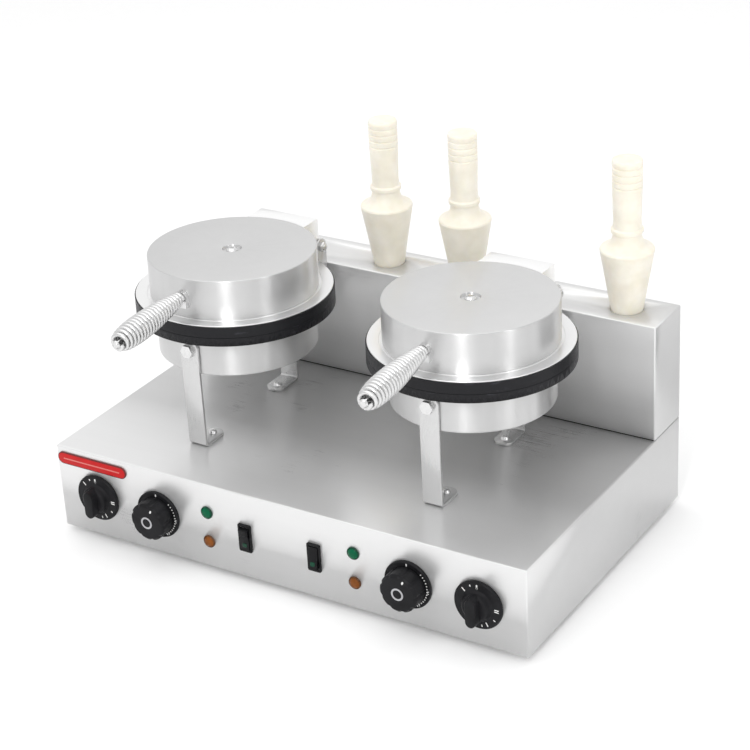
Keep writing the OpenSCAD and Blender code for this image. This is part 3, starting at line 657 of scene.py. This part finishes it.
@dataclass
class Cabinet:
    """Folded base, rear housing, covers, feet and what is fastened to them."""

    finishes: Finishes
    bend: float = 1.6
    sheet: float = 1.2
    joint_gap: float = 0.7
    hole_play: float = 0.4
    seat_radius: float = 16.9
    foot_radius: float = 13.0

    def folded(self, low: Vector, high: Vector, openings: tuple[Vector, ...]) -> bmesh.types.BMesh:
        """Box of folded sheet with some sides left open.

        Args:
            low: Lowest corner in millimetres.
            high: Highest corner in millimetres.
            openings: Outward directions of the open sides.

        Returns:
            The outer skin.
        """
        mesh = bmesh.new()
        bmesh.ops.create_cube(mesh, size=1)
        bmesh.ops.scale(mesh, vec=high - low, verts=mesh.verts)
        bmesh.ops.translate(mesh, vec=(low + high) / 2, verts=mesh.verts)
        away = [face for face in mesh.faces if any(face.normal.dot(side) > 0.9 for side in openings)]
        bmesh.ops.delete(mesh, geom=away, context="FACES")
        folds = [edge for edge in mesh.edges if len(edge.link_faces) == 2]
        bmesh.ops.bevel(mesh, geom=folds, offset=self.bend, affect="EDGES", segments=5, profile=0.5,
                        material=-1)
        return mesh

    def thicken(self, thing: bpy.types.Object) -> None:
        """Gives a folded skin its sheet thickness, inwards."""
        wall = thing.modifiers.new("sheet", "SOLIDIFY")
        wall.thickness = self.sheet * MM
        wall.offset = -1
        wall.use_even_offset = True

    def build_base(self) -> None:
        """The base box, open below and behind."""
        low, high = box_in_mm("base_shell")
        mesh = self.folded(low, high, (Vector((0, 0, -1)), Vector((0, 1, 0))))
        piece = Piece("base_sheet", "frame", "brushed_steel", self.finishes.deck, ("base_shell",), 8.0)
        self.thicken(piece.make(mesh, Matrix.Scale(MM, 4)))
        dress("bottom_plate", self.finishes.housing)
        for corner in range(4):
            self.build_foot(corner)

    def build_foot(self, corner: int) -> None:
        """One rubber foot with a rounded tread.

        Args:
            corner: Which of the four corners.
        """
        low, high = box_in_mm("feet")
        x = (low.x if corner % 2 else high.x) + (1 if corner % 2 else -1) * self.foot_radius
        y = (low.y if corner // 2 else high.y) + (1 if corner // 2 else -1) * self.foot_radius
        radius, height = self.foot_radius, high.z
        tread = rounded_profile([(0, 1.2, 0), (4.5, 1.2, 0.4), (5.2, 0, 0.6), (radius - 1, 0, 1.0),
                                 (radius, height * 0.55, 1.5), (radius - 1.2, height, 0.6), (0, height, 0)])
        stands = ("feet",) if corner == 0 else ()
        piece = Piece(f"foot_{corner + 1}", "frame", "foot_rubber", self.finishes.rubber, stands)
        piece.make(moved(lathe(tread, 48), Matrix.Translation((x, y, 0))), Matrix.Scale(MM, 4))

    def build_housing(self) -> None:
        """Rear housing with a round hole for each cone former."""
        low, high = box_in_mm("rear_housing")
        low.z += self.joint_gap
        mesh = self.folded(low, high, (Vector((0, 0, -1)), Vector((0, 1, 0))))
        top = max(mesh.faces, key=lambda face: (round(face.calc_center_median().z, 3), face.calc_area()))
        rim = list(top.edges)
        bmesh.ops.delete(mesh, geom=[top], context="FACES_ONLY")
        for name in ("left", "middle", "right"):
            spot = centre_of(f"cone_former_{name}") / MM
            ring = bmesh.ops.create_circle(mesh, segments=72, radius=self.seat_radius + self.hole_play,
                                           matrix=Matrix.Translation((spot.x, spot.y, high.z)))
            rim += list({edge for vert in ring["verts"] for edge in vert.link_edges})
        bmesh.ops.triangle_fill(mesh, use_beauty=True, use_dissolve=False, edges=rim)
        bmesh.ops.recalc_face_normals(mesh, faces=mesh.faces)
        piece = Piece("housing_sheet", "frame", "brushed_steel", self.finishes.housing, ("rear_housing",), 8.0)
        self.thicken(piece.make(mesh, Matrix.Scale(MM, 4)))
        dress("rear_panel", self.finishes.housing)

    def build_gap_shadow(self) -> None:
        """Painted shadow: a dark strip that stands for the shade in the gap where the housing stands on the deck."""
        low, high = box_in_mm("rear_housing")
        strip = slab(rounded_rectangle(high.x - low.x - 2, 1.2, 0.3, 2), 1.0, 0.2)
        middle = Vector(((low.x + high.x) / 2, low.y - 0.1, box_in_mm("base_shell")[1].z)) * MM
        place = Matrix.Translation(middle) @ Matrix.Scale(MM, 4)
        # a dark rubber strip as painted shadow in the joint, not a part of the machine
        Piece("housing_gap_shadow", "frame", slot_of("rear_housing"), self.finishes.rubber).make(strip, place)

    def build_fittings(self) -> None:
        """Screws, gland and terminal block."""
        refined("panel_screws", self.finishes.zinc, 0.2)
        refined("cable_gland", self.finishes.black, 0.3)
        refined("terminal_block", self.finishes.insulator, 0.3)

    def build_badge(self) -> None:
        """Plain glossy lozenge in a darker rim, with a generic stripe."""
        low, high = box_in_mm("badge")
        length, width, height = high.x - low.x, high.z - low.z, high.y - low.y
        place = panel_place("badge")
        rim = slab(stadium(length, width, 24), height, 0.35, 3)
        Piece("badge_frame", "frame", "badge_red", self.finishes.red_rim, ("badge",)).make(rim, place)
        face = slab(stadium(length - 2.2, width - 2.2, 24), 0.5, 0.25, 3)
        up = Matrix.Translation((0, 0, height - 0.28))
        Piece("badge_face", "frame", "badge_red", self.finishes.red).make(moved(face, up), place)
        stripe = slab(stadium(length - 16, 1.5, 12), 0.3, 0.1, 2)
        up = Matrix.Translation((0, 0, height + 0.05))
        Piece("badge_stripe", "frame", "badge_red", self.finishes.pink).make(moved(stripe, up), place)

    def build(self) -> None:
        """Everything of the cabinet."""
        self.build_base()
        self.build_housing()
        self.build_gap_shadow()
        self.build_fittings()
        self.build_badge()


# ---------- heads ----------


@dataclass
class Head:
    """One baking head: cans, plates, ring, hinge, legs and coil handle."""

    side: Side
    finishes: Finishes
    can_radius: float = 85.5
    lid_radius: float = 90.0
    can_height: float = 44.0
    wall: float = 1.5
    plate_radius: float = 106.6
    ring_low: float = 65.0
    ring_thick: float = 1.4
    lid_height: float = 43.0
    dimple: float = 3.2
    handle_height: float = 90.0
    coil_start: float = 5.0
    coil_length: float = 109.0
    coil_turns: int = 21
    wire: float = 2.3
    root_radius: float = 7.2
    belly_radius: float = 13.9
    tip_radius: float = 7.4
    belly_at: float = 0.7
    place: Matrix = field(init=False)

    def __post_init__(self) -> None:
        """Finds the head's placement."""
        self.place = head_place(self.side)

    def node(self, name: str) -> str:
        """CAD node of this side."""
        return f"{self.side.value}_{name}"

    def piece(self, name: str, body: str, slot: str, material: bpy.types.Material,
              stands_for: tuple[str, ...] = ()) -> Piece:
        """A piece of this head, named after its side."""
        nodes = tuple(self.node(item) for item in stands_for)
        return Piece(self.node(name), body, slot, material, nodes)

    def build_lower_can(self) -> None:
        """Spun lower can, closed below."""
        r, t, h = self.can_radius, self.wall, self.can_height
        outline = rounded_profile([(7, 0, 0), (r, 0, 2.2), (r, h, 0.3), (r - t, h, 0.3), (r - t, t, 1.2), (7, t, 0)])
        piece = self.piece("lower_can_spun", "frame", "spun_steel", self.finishes.spun[self.side], ("lower_can",))
        piece.make(lathe(outline, 192, closed=True), self.place)

    def build_lid_can(self) -> None:
        """Spun lid with a dimple for its centre screw."""
        r, t, dip = self.lid_radius, self.wall, self.dimple
        low = self.ring_low + self.ring_thick
        top = low + self.lid_height
        outline = rounded_profile([
            (2.5, top - dip, 0), (9.4, top - dip, 0.8), (10.4, top, 0.7), (r, top, 1.3), (r, low, 0.3),
            (r - t, low, 0.3), (r - t, top - t, 0.8), (11.6, top - t, 0.7), (10.8, top - t - dip, 0.8),
            (2.5, top - t - dip, 0)])
        piece = self.piece("lid_can_spun", self.node("lid"), "spun_steel", self.finishes.spun[self.side],
                           ("lid_can",))
        piece.make(lathe(outline, 192, closed=True), self.place)

    def build_lid_ring(self) -> None:
        """Bright ring round the lid, with a step and a fine groove."""
        low, high, r = self.ring_low, self.ring_low + self.ring_thick, self.lid_radius
        edge = self.plate_radius - 1.2
        outline = rounded_profile([
            (80, low, 0), (edge, low, 0.3), (edge, high, 0.5), (r + 3.4, high, 0.15), (r + 3.2, high - 0.7, 0.15),
            (r + 1.8, high - 0.7, 0.15), (r + 1.6, high, 0.15), (80, high, 0)])
        piece = self.piece("lid_ring_turned", self.node("lid"), "ring_aluminium", self.finishes.ring[self.side],
                           ("lid_ring",))
        piece.make(lathe(outline, 192, closed=True), self.place)

    def build_screw(self) -> None:
        """Slotted centre screw of the lid with a domed head."""
        top = self.ring_low + self.ring_thick + self.lid_height
        seat = top - self.dimple + 0.1
        dome = rounded_profile([(0, top - 14, 0), (2.5, top - 14, 0.3), (2.5, seat, 0), (6.3, seat, 0.3),
                                (6.3, seat + 1.4, 0.6), (4.2, seat + 3.4, 2.5), (0, seat + 3.7, 0)])
        mesh = lathe(dome, 48)
        piece = self.piece("lid_screw_domed", self.node("lid"), "zinc_hardware", self.finishes.zinc, ("lid_screw",))
        thing = piece.make(mesh, self.place)
        slot = slab([(-7, -0.65), (7, -0.65), (7, 0.65), (-7, 0.65)], 3, 0)
        self.cut(thing, moved(slot, Matrix.Translation((0, 0, seat + 2.5)) @ Matrix.Rotation(0.6, 4, "Z")))

    def cut(self, thing: bpy.types.Object, tool: bmesh.types.BMesh) -> None:
        """Cuts a tool out of an object and keeps the result in its mesh.

        Args:
            thing: The object to cut.
            tool: The cutter, in this head's frame; it is freed.
        """
        bmesh.ops.transform(tool, matrix=self.place, verts=tool.verts)
        data = bpy.data.meshes.new("cutter")
        tool.to_mesh(data)
        tool.free()
        cutter = bpy.data.objects.new("cutter", data)
        bpy.context.scene.collection.objects.link(cutter)
        step = thing.modifiers.new("cut", "BOOLEAN")
        step.operation, step.object, step.solver = "DIFFERENCE", cutter, "EXACT"
        graph = bpy.context.evaluated_depsgraph_get()
        result = bpy.data.meshes.new_from_object(thing.evaluated_get(graph))
        thing.modifiers.remove(step)
        old, thing.data = thing.data, result
        bpy.data.meshes.remove(old)
        bpy.data.objects.remove(cutter)
        bpy.data.meshes.remove(data)

    def build_plates(self) -> None:
        """Both waffle plates, the heaters and the hinge."""
        for name in ("lower_plate", "upper_plate"):
            refined(self.node(name), self.finishes.coat, 0)
        for name in ("lower_heater", "upper_heater"):
            dress(self.node(name), self.finishes.heater)
        for name in ("hinge_base", "front_leg", "rear_leg"):
            refined(self.node(name), self.finishes.strip, 0.3)
        refined(self.node("lid_bracket"), self.finishes.bracket, 0.3)

    def coil_radius(self, share: float) -> float:
        """Outside radius of the coil at a share of its length from the lid."""
        if share < self.belly_at:
            return self.root_radius + (self.belly_radius - self.root_radius) * math.sin(
                math.pi / 2 * share / self.belly_at)
        fall = (share - self.belly_at) / (1 - self.belly_at)
        return self.tip_radius + (self.belly_radius - self.tip_radius) * math.sqrt(max(0.0, 1 - fall * fall))

    def build_handle(self) -> None:
        """Coil of round wire on a rod with a lug at the lid."""
        refined(self.node("handle_rod"), self.finishes.chrome, 0.3)
        per_turn = 32
        count = self.coil_turns * per_turn
        run = self.coil_length - 2 * self.wire
        line = bpy.data.curves.new(self.node("coil"), "CURVE")
        line.dimensions = "3D"
        line.bevel_depth = self.wire * MM
        line.bevel_resolution = 6
        line.use_fill_caps = True
        spline = line.splines.new("POLY")
        spline.points.add(count)
        root = Matrix.Translation((0, -self.lid_radius, self.handle_height))
        turn = self.place @ root @ Matrix.Rotation(math.pi / 2 + DROOP, 4, "X")
        for k in range(count + 1):
            share = k / count
            angle = 2 * math.pi * self.coil_turns * share
            radius = self.coil_radius(share) - self.wire
            spot = Vector((radius * math.cos(angle), radius * math.sin(angle),
                           self.coil_start + self.wire + share * run))
            spline.points[k].co = (*(turn @ spot), 1)
        holder = bpy.data.objects.new("coil_line", line)
        bpy.context.scene.collection.objects.link(holder)
        graph = bpy.context.evaluated_depsgraph_get()
        data = bpy.data.meshes.new_from_object(holder.evaluated_get(graph))
        mesh = bmesh.new()
        mesh.from_mesh(data)
        bpy.data.objects.remove(holder)
        bpy.data.meshes.remove(data)
        bmesh.ops.recalc_face_normals(mesh, faces=mesh.faces)
        piece = self.piece("handle_wire", self.node("lid"), "handle_chrome", self.finishes.chrome, ("handle_coil",))
        piece.make(mesh, Matrix.Identity(4))

    def build(self) -> None:
        """Everything of this head."""
        self.build_lower_can()
        self.build_lid_can()
        self.build_lid_ring()
        self.build_screw()
        self.build_plates()
        self.build_handle()


# ---------- controls ----------


@dataclass
class Mark:
    """One painted mark on a dial: a bar at an angle round the middle."""

    clock: float
    radius: float
    length: float
    width: float

    def mesh(self, height: float) -> bmesh.types.BMesh:
        """The mark as a thin slab.

        Args:
            height: Height of the dial surface above the panel.

        Returns:
            The mark's mesh.
        """
        bar = slab(rounded_rectangle(self.width, self.length, min(self.width, self.length) * 0.45, 3), 0.16, 0)
        turn = Matrix.Rotation(-math.radians(self.clock * 30), 4, "Z")
        return moved(bar, turn @ Matrix.Translation((0, self.radius, height)))


@dataclass
class Controls:
    """Timer, thermostat, lamps and switch of one side."""

    side: Side
    finishes: Finishes
    timer_radius: float = 26.6
    bezel_radius: float = 26.6
    knob_radius: float = 21.3
    knob_out: float = 23.0
    lamp_radius: float = 7.1
    scallops: int = 9
    rocker_lean: float = 8.0

    def node(self, name: str) -> str:
        """CAD node of this side."""
        return f"{self.side.value}_{name}"

    def marks(self, name: str, body: str, place: Matrix, marks: list[Mark], height: float) -> None:
        """Joins painted marks into one piece.

        Args:
            name: Name of the piece.
            body: Body that it rides on.
            place: Placement of the dial.
            marks: The marks.
            height: Height of the dial surface above the panel.
        """
        mesh = merge_into(bmesh.new(), *(mark.mesh(height) for mark in marks))
        Piece(self.node(name), body, "terminal_white", self.finishes.white).make(mesh, place)

    def build_timer(self) -> None:
        """Skirted knob with a wing grip and painted ticks."""
        place, body = panel_place(self.node("timer_knob")), self.node("timer")
        r = self.timer_radius
        outline = rounded_profile([
            (0, 0.8, 0), (r, 0.8, 0.4), (r, 3.2, 0.8), (r - 1.2, 4.5, 0.6), (17.2, 4.7, 1.5), (15.5, 7.2, 1.6),
            (14.4, 11.2, 1.4), (12.2, 12.4, 0.8), (0, 12.4, 0)])
        skirt = lathe(outline, 144)
        wing = slab(stadium(33, 13, 20), 13.4, 1.1, 4)
        for vert in wing.verts:
            if vert.co.z > 10:
                vert.co.y *= 0.86
                vert.co.x *= 0.95
        moved(wing, Matrix.Translation((0, -1.2, 7.2)) @ Matrix.Rotation(math.pi / 2, 4, "Z"))
        piece = Piece(self.node("timer_grip"), body, "knob_black", self.finishes.knob, (self.node("timer_knob"),))
        piece.make(merge_into(skirt, wing), place)
        middle = (r - 1.8 + 17.4) / 2
        ticks = [Mark(0, middle, 5.4, 1.7), Mark(0, middle - 1.4, 2.4, 2.4), Mark(11.35, middle + 1.2, 2.2, 1.3)]
        ticks += [Mark(clock, middle, 5.0, 1.1) for clock in (10.5, 2.95, 3.15, 5.05)]
        ticks += [Mark(clock, middle + 0.8, 2.6, 1.0) for clock in (4.1, 5.6)]
        self.marks("timer_ticks", body, place, ticks, 4.68)

    def build_thermostat(self) -> None:
        """Dished bezel with a scale and the round scalloped knob."""
        place = panel_place(self.node("thermostat_bezel"))
        r, k = self.bezel_radius, self.knob_radius
        dish = rounded_profile([(5.5, 0, 0), (r, 0, 0.3), (r, 2.8, 0.6), (r - 1.3, 3.9, 0.5), (r - 1.9, 3.1, 0.3),
                                (k - 2, 3.0, 0), (5.5, 3.0, 0)])
        piece = Piece(self.node("thermostat_dish"), "frame", "knob_black", self.finishes.knob,
                      (self.node("thermostat_bezel"),))
        piece.make(lathe(dish, 144, closed=True), place)
        middle = (k + r - 1.8) / 2
        scale = [Mark(0, middle, 3.0, 1.4)]
        scale += [Mark(1.5 + 0.28 * step, middle - 0.4, 1.6, 1.2) for step in range(16)]
        scale += [Mark(clock, middle + 0.9, 1.7, 0.9) for clock in (3.1, 3.3, 4.9, 5.1)]
        self.marks("thermostat_scale", "frame", place, scale, 3.14)
        self.build_thermostat_knob(place)

    def build_thermostat_knob(self, place: Matrix) -> None:
        """Round grip with shallow scallops, a ring and a pointer mark.

        Args:
            place: Placement of the dial.
        """
        k, top = self.knob_radius, self.knob_out
        outline = rounded_profile([(0, 3.6, 0), (k - 0.8, 3.6, 0.3), (k, 6.0, 0.8), (k, top - 2.8, 1.4),
                                   (k - 2.6, top - 0.4, 1.2), (7.0, top - 0.2, 0.2), (6.8, top - 0.5, 0.1),
                                   (5.0, top - 0.5, 0.1), (4.8, top - 0.1, 0.2), (0, top - 0.1, 0)])
        mesh = lathe(outline, 180)
        for vert in mesh.verts:
            reach = math.hypot(vert.co.x, vert.co.y)
            if reach > k - 4 and vert.co.z > 5.4:
                wave = max(0.0, math.cos(self.scallops * math.atan2(vert.co.y, vert.co.x))) ** 2
                share = 1 - 0.055 * wave * min(1.0, (reach - k + 4) / 2.5)
                vert.co.x *= share
                vert.co.y *= share
        body = self.node("thermostat")
        piece = Piece(self.node("thermostat_grip"), body, "knob_black", self.finishes.knob,
                      (self.node("thermostat_knob"),))
        piece.make(mesh, place)
        self.marks("thermostat_pointer", body, place, [Mark(0.8, k - 5.0, 3.6, 1.8)], top - 0.3)
        ring = lathe([(5.0, top - 0.52), (5.0, top - 0.04), (6.8, top - 0.04), (6.8, top - 0.52)], 72, closed=True)
        piece = Piece(self.node("thermostat_ring"), body, "ring_aluminium", self.finishes.grey)
        piece.make(ring, place)

    def build_lamps(self) -> None:
        """Domed lenses in dark rims."""
        kit = self.finishes
        for colour, material, dark in (("green", kit.green, kit.green_rim), ("amber", kit.amber, kit.amber_rim)):
            node = self.node(f"{colour}_lamp")
            place, r = panel_place(node), self.lamp_radius
            rim = rounded_profile([(5.6, 0, 0), (r, 0, 0.2), (r, 1.2, 0.5), (r - 0.9, 1.9, 0.3), (5.8, 1.5, 0.2),
                                   (5.6, 1.2, 0)])
            piece = Piece(self.node(f"{colour}_rim"), "frame", slot_of(node), dark)
            piece.make(lathe(rim, 64, closed=True), place)
            lens = rounded_profile([(0, -21, 0), (5, -21, 0.5), (5, 0.2, 0), (5.9, 0.2, 0.1), (5.7, 1.8, 1.2),
                                    (3.4, 3.5, 2.5), (0, 4.0, 0)], 6)
            piece = Piece(self.node(f"{colour}_lens"), "frame", slot_of(node), material, (node,))
            piece.make(lathe(lens, 64), place)

    def build_switch(self) -> None:
        """Rocker switch with a lit lens in its lower half."""
        refined(self.node("switch_body"), self.finishes.black, 0.3, 3)
        refined(self.node("switch_rocker"), self.finishes.black, 0.5, 3)
        joint = joint_named(f"{self.side.value}_switch_rock")
        lean = math.radians(self.rocker_lean if self.side is Side.LEFT else -self.rocker_lean)
        spot = Matrix.Translation(Vector(joint["pos_m"])) @ Matrix.Rotation(math.pi / 2 + lean, 4, "X")
        lens = slab(rounded_rectangle(5.6, 4.6, 1.2), 0.5, 0.15)
        rise, run = 1.7, 12
        slope = Matrix.Rotation(math.atan2(rise, run), 4, "X")
        place = spot @ Matrix.Scale(MM, 4) @ Matrix.Translation((0, -7.0, 5.65)) @ slope.inverted()
        piece = Piece(self.node("rocker_lens"), self.node("rocker"), "lens_green", self.finishes.green_rim)
        piece.make(lens, place)

    def build(self) -> None:
        """Everything of this side's controls."""
        for name in ("timer_body", "thermostat_body"):
            dress(self.node(name), self.finishes.insulator)
        self.build_timer()
        self.build_thermostat()
        self.build_lamps()
        self.build_switch()


# ---------- cone formers ----------


@dataclass
class Former:
    """Turned cone former with a concave neck, a collar bead and a ringed grip."""

    name: str
    finishes: Finishes
    radius: float = 28.6
    seat: float = 16.9
    shoulder: float = 67.5
    top: float = 166.5
    flutes: int = 24

    def build(self) -> None:
        """Makes the former in its hole."""
        node = f"cone_former_{self.name}"
        middle = centre_of(node)
        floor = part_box("rear_housing")[1].z
        slope = (self.radius - self.seat) / self.shoulder
        tip = -(self.seat - 1.6) / slope
        h, t = self.shoulder, self.top
        corners = [(0, tip - 1.2, 0), (1.6, tip, 0.5), (self.radius, h, 0.8), (self.radius - 0.7, h + 1.8, 0.8),
                   (26.6, h + 2.6, 1.0)]
        neck = [(15.2 + 11.2 * (1 - math.sin(a)) ** 1.1, h + 2.9 + 14 * (1 - math.cos(a)) + 1.2 * math.sin(a), 0)
                for a in (math.radians(10 * k) for k in range(1, 10))]
        corners += neck + [(15.2, h + 18.6, 0.6), (16.9, h + 19.6, 0.7), (16.9, h + 23.4, 0.8), (15.0, h + 25, 0.8),
                           (14.5, h + 33, 3)]
        for k in range(4):
            low = t - 30 + 7 * k
            corners += [(15.6, low, 0.2), (14.8, low + 0.5, 0.25), (14.8, low + 1.6, 0.25), (15.6, low + 2.1, 0.2)]
        corners += [(15.8, t - 3.0, 1.0), (15.2, t - 0.9, 1.4), (12.6, t, 1.2), (0, t + 0, 0)]
        mesh = lathe(rounded_profile(corners), 120)
        for vert in mesh.verts:
            if h + 34 < vert.co.z < t - 31:
                angle = math.atan2(vert.co.y, vert.co.x)
                share = 1 - 0.006 * (1 + math.cos(self.flutes * angle)) / 2
                vert.co.x *= share
                vert.co.y *= share
        place = Matrix.Translation((middle.x, middle.y, floor)) @ Matrix.Scale(MM, 4)
        piece = Piece(f"former_{self.name}_turned", f"former_{self.name}", "former_nylon", self.finishes.nylon,
                      (node,))
        piece.make(mesh, place)


# ---------- studio ----------


@dataclass
class Studio:
    """Pale floor, soft light and the camera."""

    finishes: Finishes
    azimuth: float = 32.88
    elevation: float = 26.62
    roll: float = -3.28
    lens: float = 102.4
    eye: tuple[float, float, float] = (1.1049, -1.6677, 1.1822)

    def build_floor(self) -> None:
        """A wide floor under the machine."""
        mesh = bmesh.new()
        bmesh.ops.create_grid(mesh, x_segments=8, y_segments=8, size=30)
        data = bpy.data.meshes.new("floor")
        mesh.to_mesh(data)
        mesh.free()
        data.materials.append(self.finishes.floor)
        floor = bpy.data.objects.new("floor", data)
        bpy.context.scene.collection.objects.link(floor)

    def build_camera(self) -> None:
        """Camera at the eye point, looking along the view axes with its roll."""
        az, el, roll = (math.radians(a) for a in (self.azimuth, self.elevation, self.roll))
        back = Vector((math.sin(az) * math.cos(el), -math.cos(az) * math.cos(el), math.sin(el)))
        right = Vector((math.cos(az), math.sin(az), 0))
        up = back.cross(right)
        turned_right = math.cos(roll) * right + math.sin(roll) * up
        turned_up = -math.sin(roll) * right + math.cos(roll) * up
        turn = Matrix((turned_right, turned_up, back)).transposed().to_4x4()
        data = bpy.data.cameras.new("camera")
        data.lens = self.lens
        data.sensor_width = 36
        data.clip_end = 100
        camera = bpy.data.objects.new("camera", data)
        camera.matrix_world = Matrix.Translation(self.eye) @ turn
        bpy.context.scene.collection.objects.link(camera)
        bpy.context.scene.camera = camera

    def softbox(self, name: str, spot: tuple[float, float, float], size: tuple[float, float], power: float) -> None:
        """A rectangular light aimed at the machine.

        Args:
            name: Name of the light.
            spot: Where it hangs, in metres.
            size: Width and height in metres.
            power: Watts.
        """
        data = bpy.data.lights.new(name, "AREA")
        data.shape = "RECTANGLE"
        data.size, data.size_y = size
        data.energy = power
        lamp = bpy.data.objects.new(name, data)
        aim = Vector((0, 0, 0.15)) - Vector(spot)
        lamp.matrix_world = Matrix.Translation(spot) @ aim.to_track_quat("-Z", "Y").to_matrix().to_4x4()
        bpy.context.scene.collection.objects.link(lamp)

    def flag(self, spot: tuple[float, float, float], size: tuple[float, float]) -> None:
        """A grey card that only reflections see, for a darker end on the housing.

        Args:
            spot: Middle of the card, in metres.
            size: Width and height in metres.
        """
        mesh = bmesh.new()
        bmesh.ops.create_grid(mesh, x_segments=1, y_segments=1, size=0.5)
        bmesh.ops.scale(mesh, vec=(*size, 1), verts=mesh.verts)
        aim = Vector((0, 0, spot[2])) - Vector(spot)
        turn = aim.to_track_quat("Z", "Y").to_matrix().to_4x4()
        bmesh.ops.transform(mesh, matrix=Matrix.Translation(spot) @ turn, verts=mesh.verts)
        data = bpy.data.meshes.new("flag")
        mesh.to_mesh(data)
        mesh.free()
        data.materials.append(self.finishes.card)
        card = bpy.data.objects.new("flag", data)
        bpy.context.scene.collection.objects.link(card)
        card.visible_camera = card.visible_diffuse = card.visible_shadow = False

    def build_world(self) -> None:
        """Light room that is brightest behind and above the machine on the left."""
        world = bpy.data.worlds.new("studio")
        world.use_nodes = True
        tree = world.node_tree
        way = tree.nodes.new("ShaderNodeTexCoord").outputs["Generated"]
        dot = tree.nodes.new("ShaderNodeVectorMath")
        dot.operation = "DOT_PRODUCT"
        dot.inputs[1].default_value = Vector((-0.5, 0.72, 0.62)).normalized()
        glow = tree.nodes.new("ShaderNodeMapRange")
        for index, value in ((1, -0.6), (2, 0.8), (3, 0.76), (4, 0.96)):
            glow.inputs[index].default_value = value
        tree.links.new(way, dot.inputs[0])
        tree.links.new(dot.outputs["Value"], glow.inputs[0])
        tree.links.new(glow.outputs[0], tree.nodes["Background"].inputs["Strength"])
        tree.nodes["Background"].inputs["Color"].default_value = (1, 1, 1, 1)
        bpy.context.scene.world = world

    def build(self) -> None:
        """The whole studio."""
        self.build_floor()
        self.build_camera()
        self.build_world()
        self.softbox("key_light", (0.85, -2.3, 1.9), (0.3, 1.4), 20)
        self.softbox("top_light", (-0.4, -0.3, 2.8), (3.0, 3.0), 20)
        self.softbox("right_light", (2.4, -0.5, 1.2), (0.35, 1.6), 6)
        self.flag((0.42, 0.3, 0.09), (0.3, 0.17))
        bpy.context.scene.view_settings.view_transform = "Standard"


def main() -> None:
    """Builds the studio and every assembly in order."""
    logging.basicConfig(level=logging.INFO, format="%(message)s")
    finishes = Finishes()
    Studio(finishes).build()
    Cabinet(finishes).build()
    for side in Side:
        Head(side, finishes).build()
        Controls(side, finishes).build()
    refined("leg_bolts", finishes.zinc, 0.3)
    refined("hinge_bolts", finishes.zinc, 0.3)
    for name in ("left", "middle", "right"):
        Former(name, finishes).build()


if __name__ == "__main__":
    main()
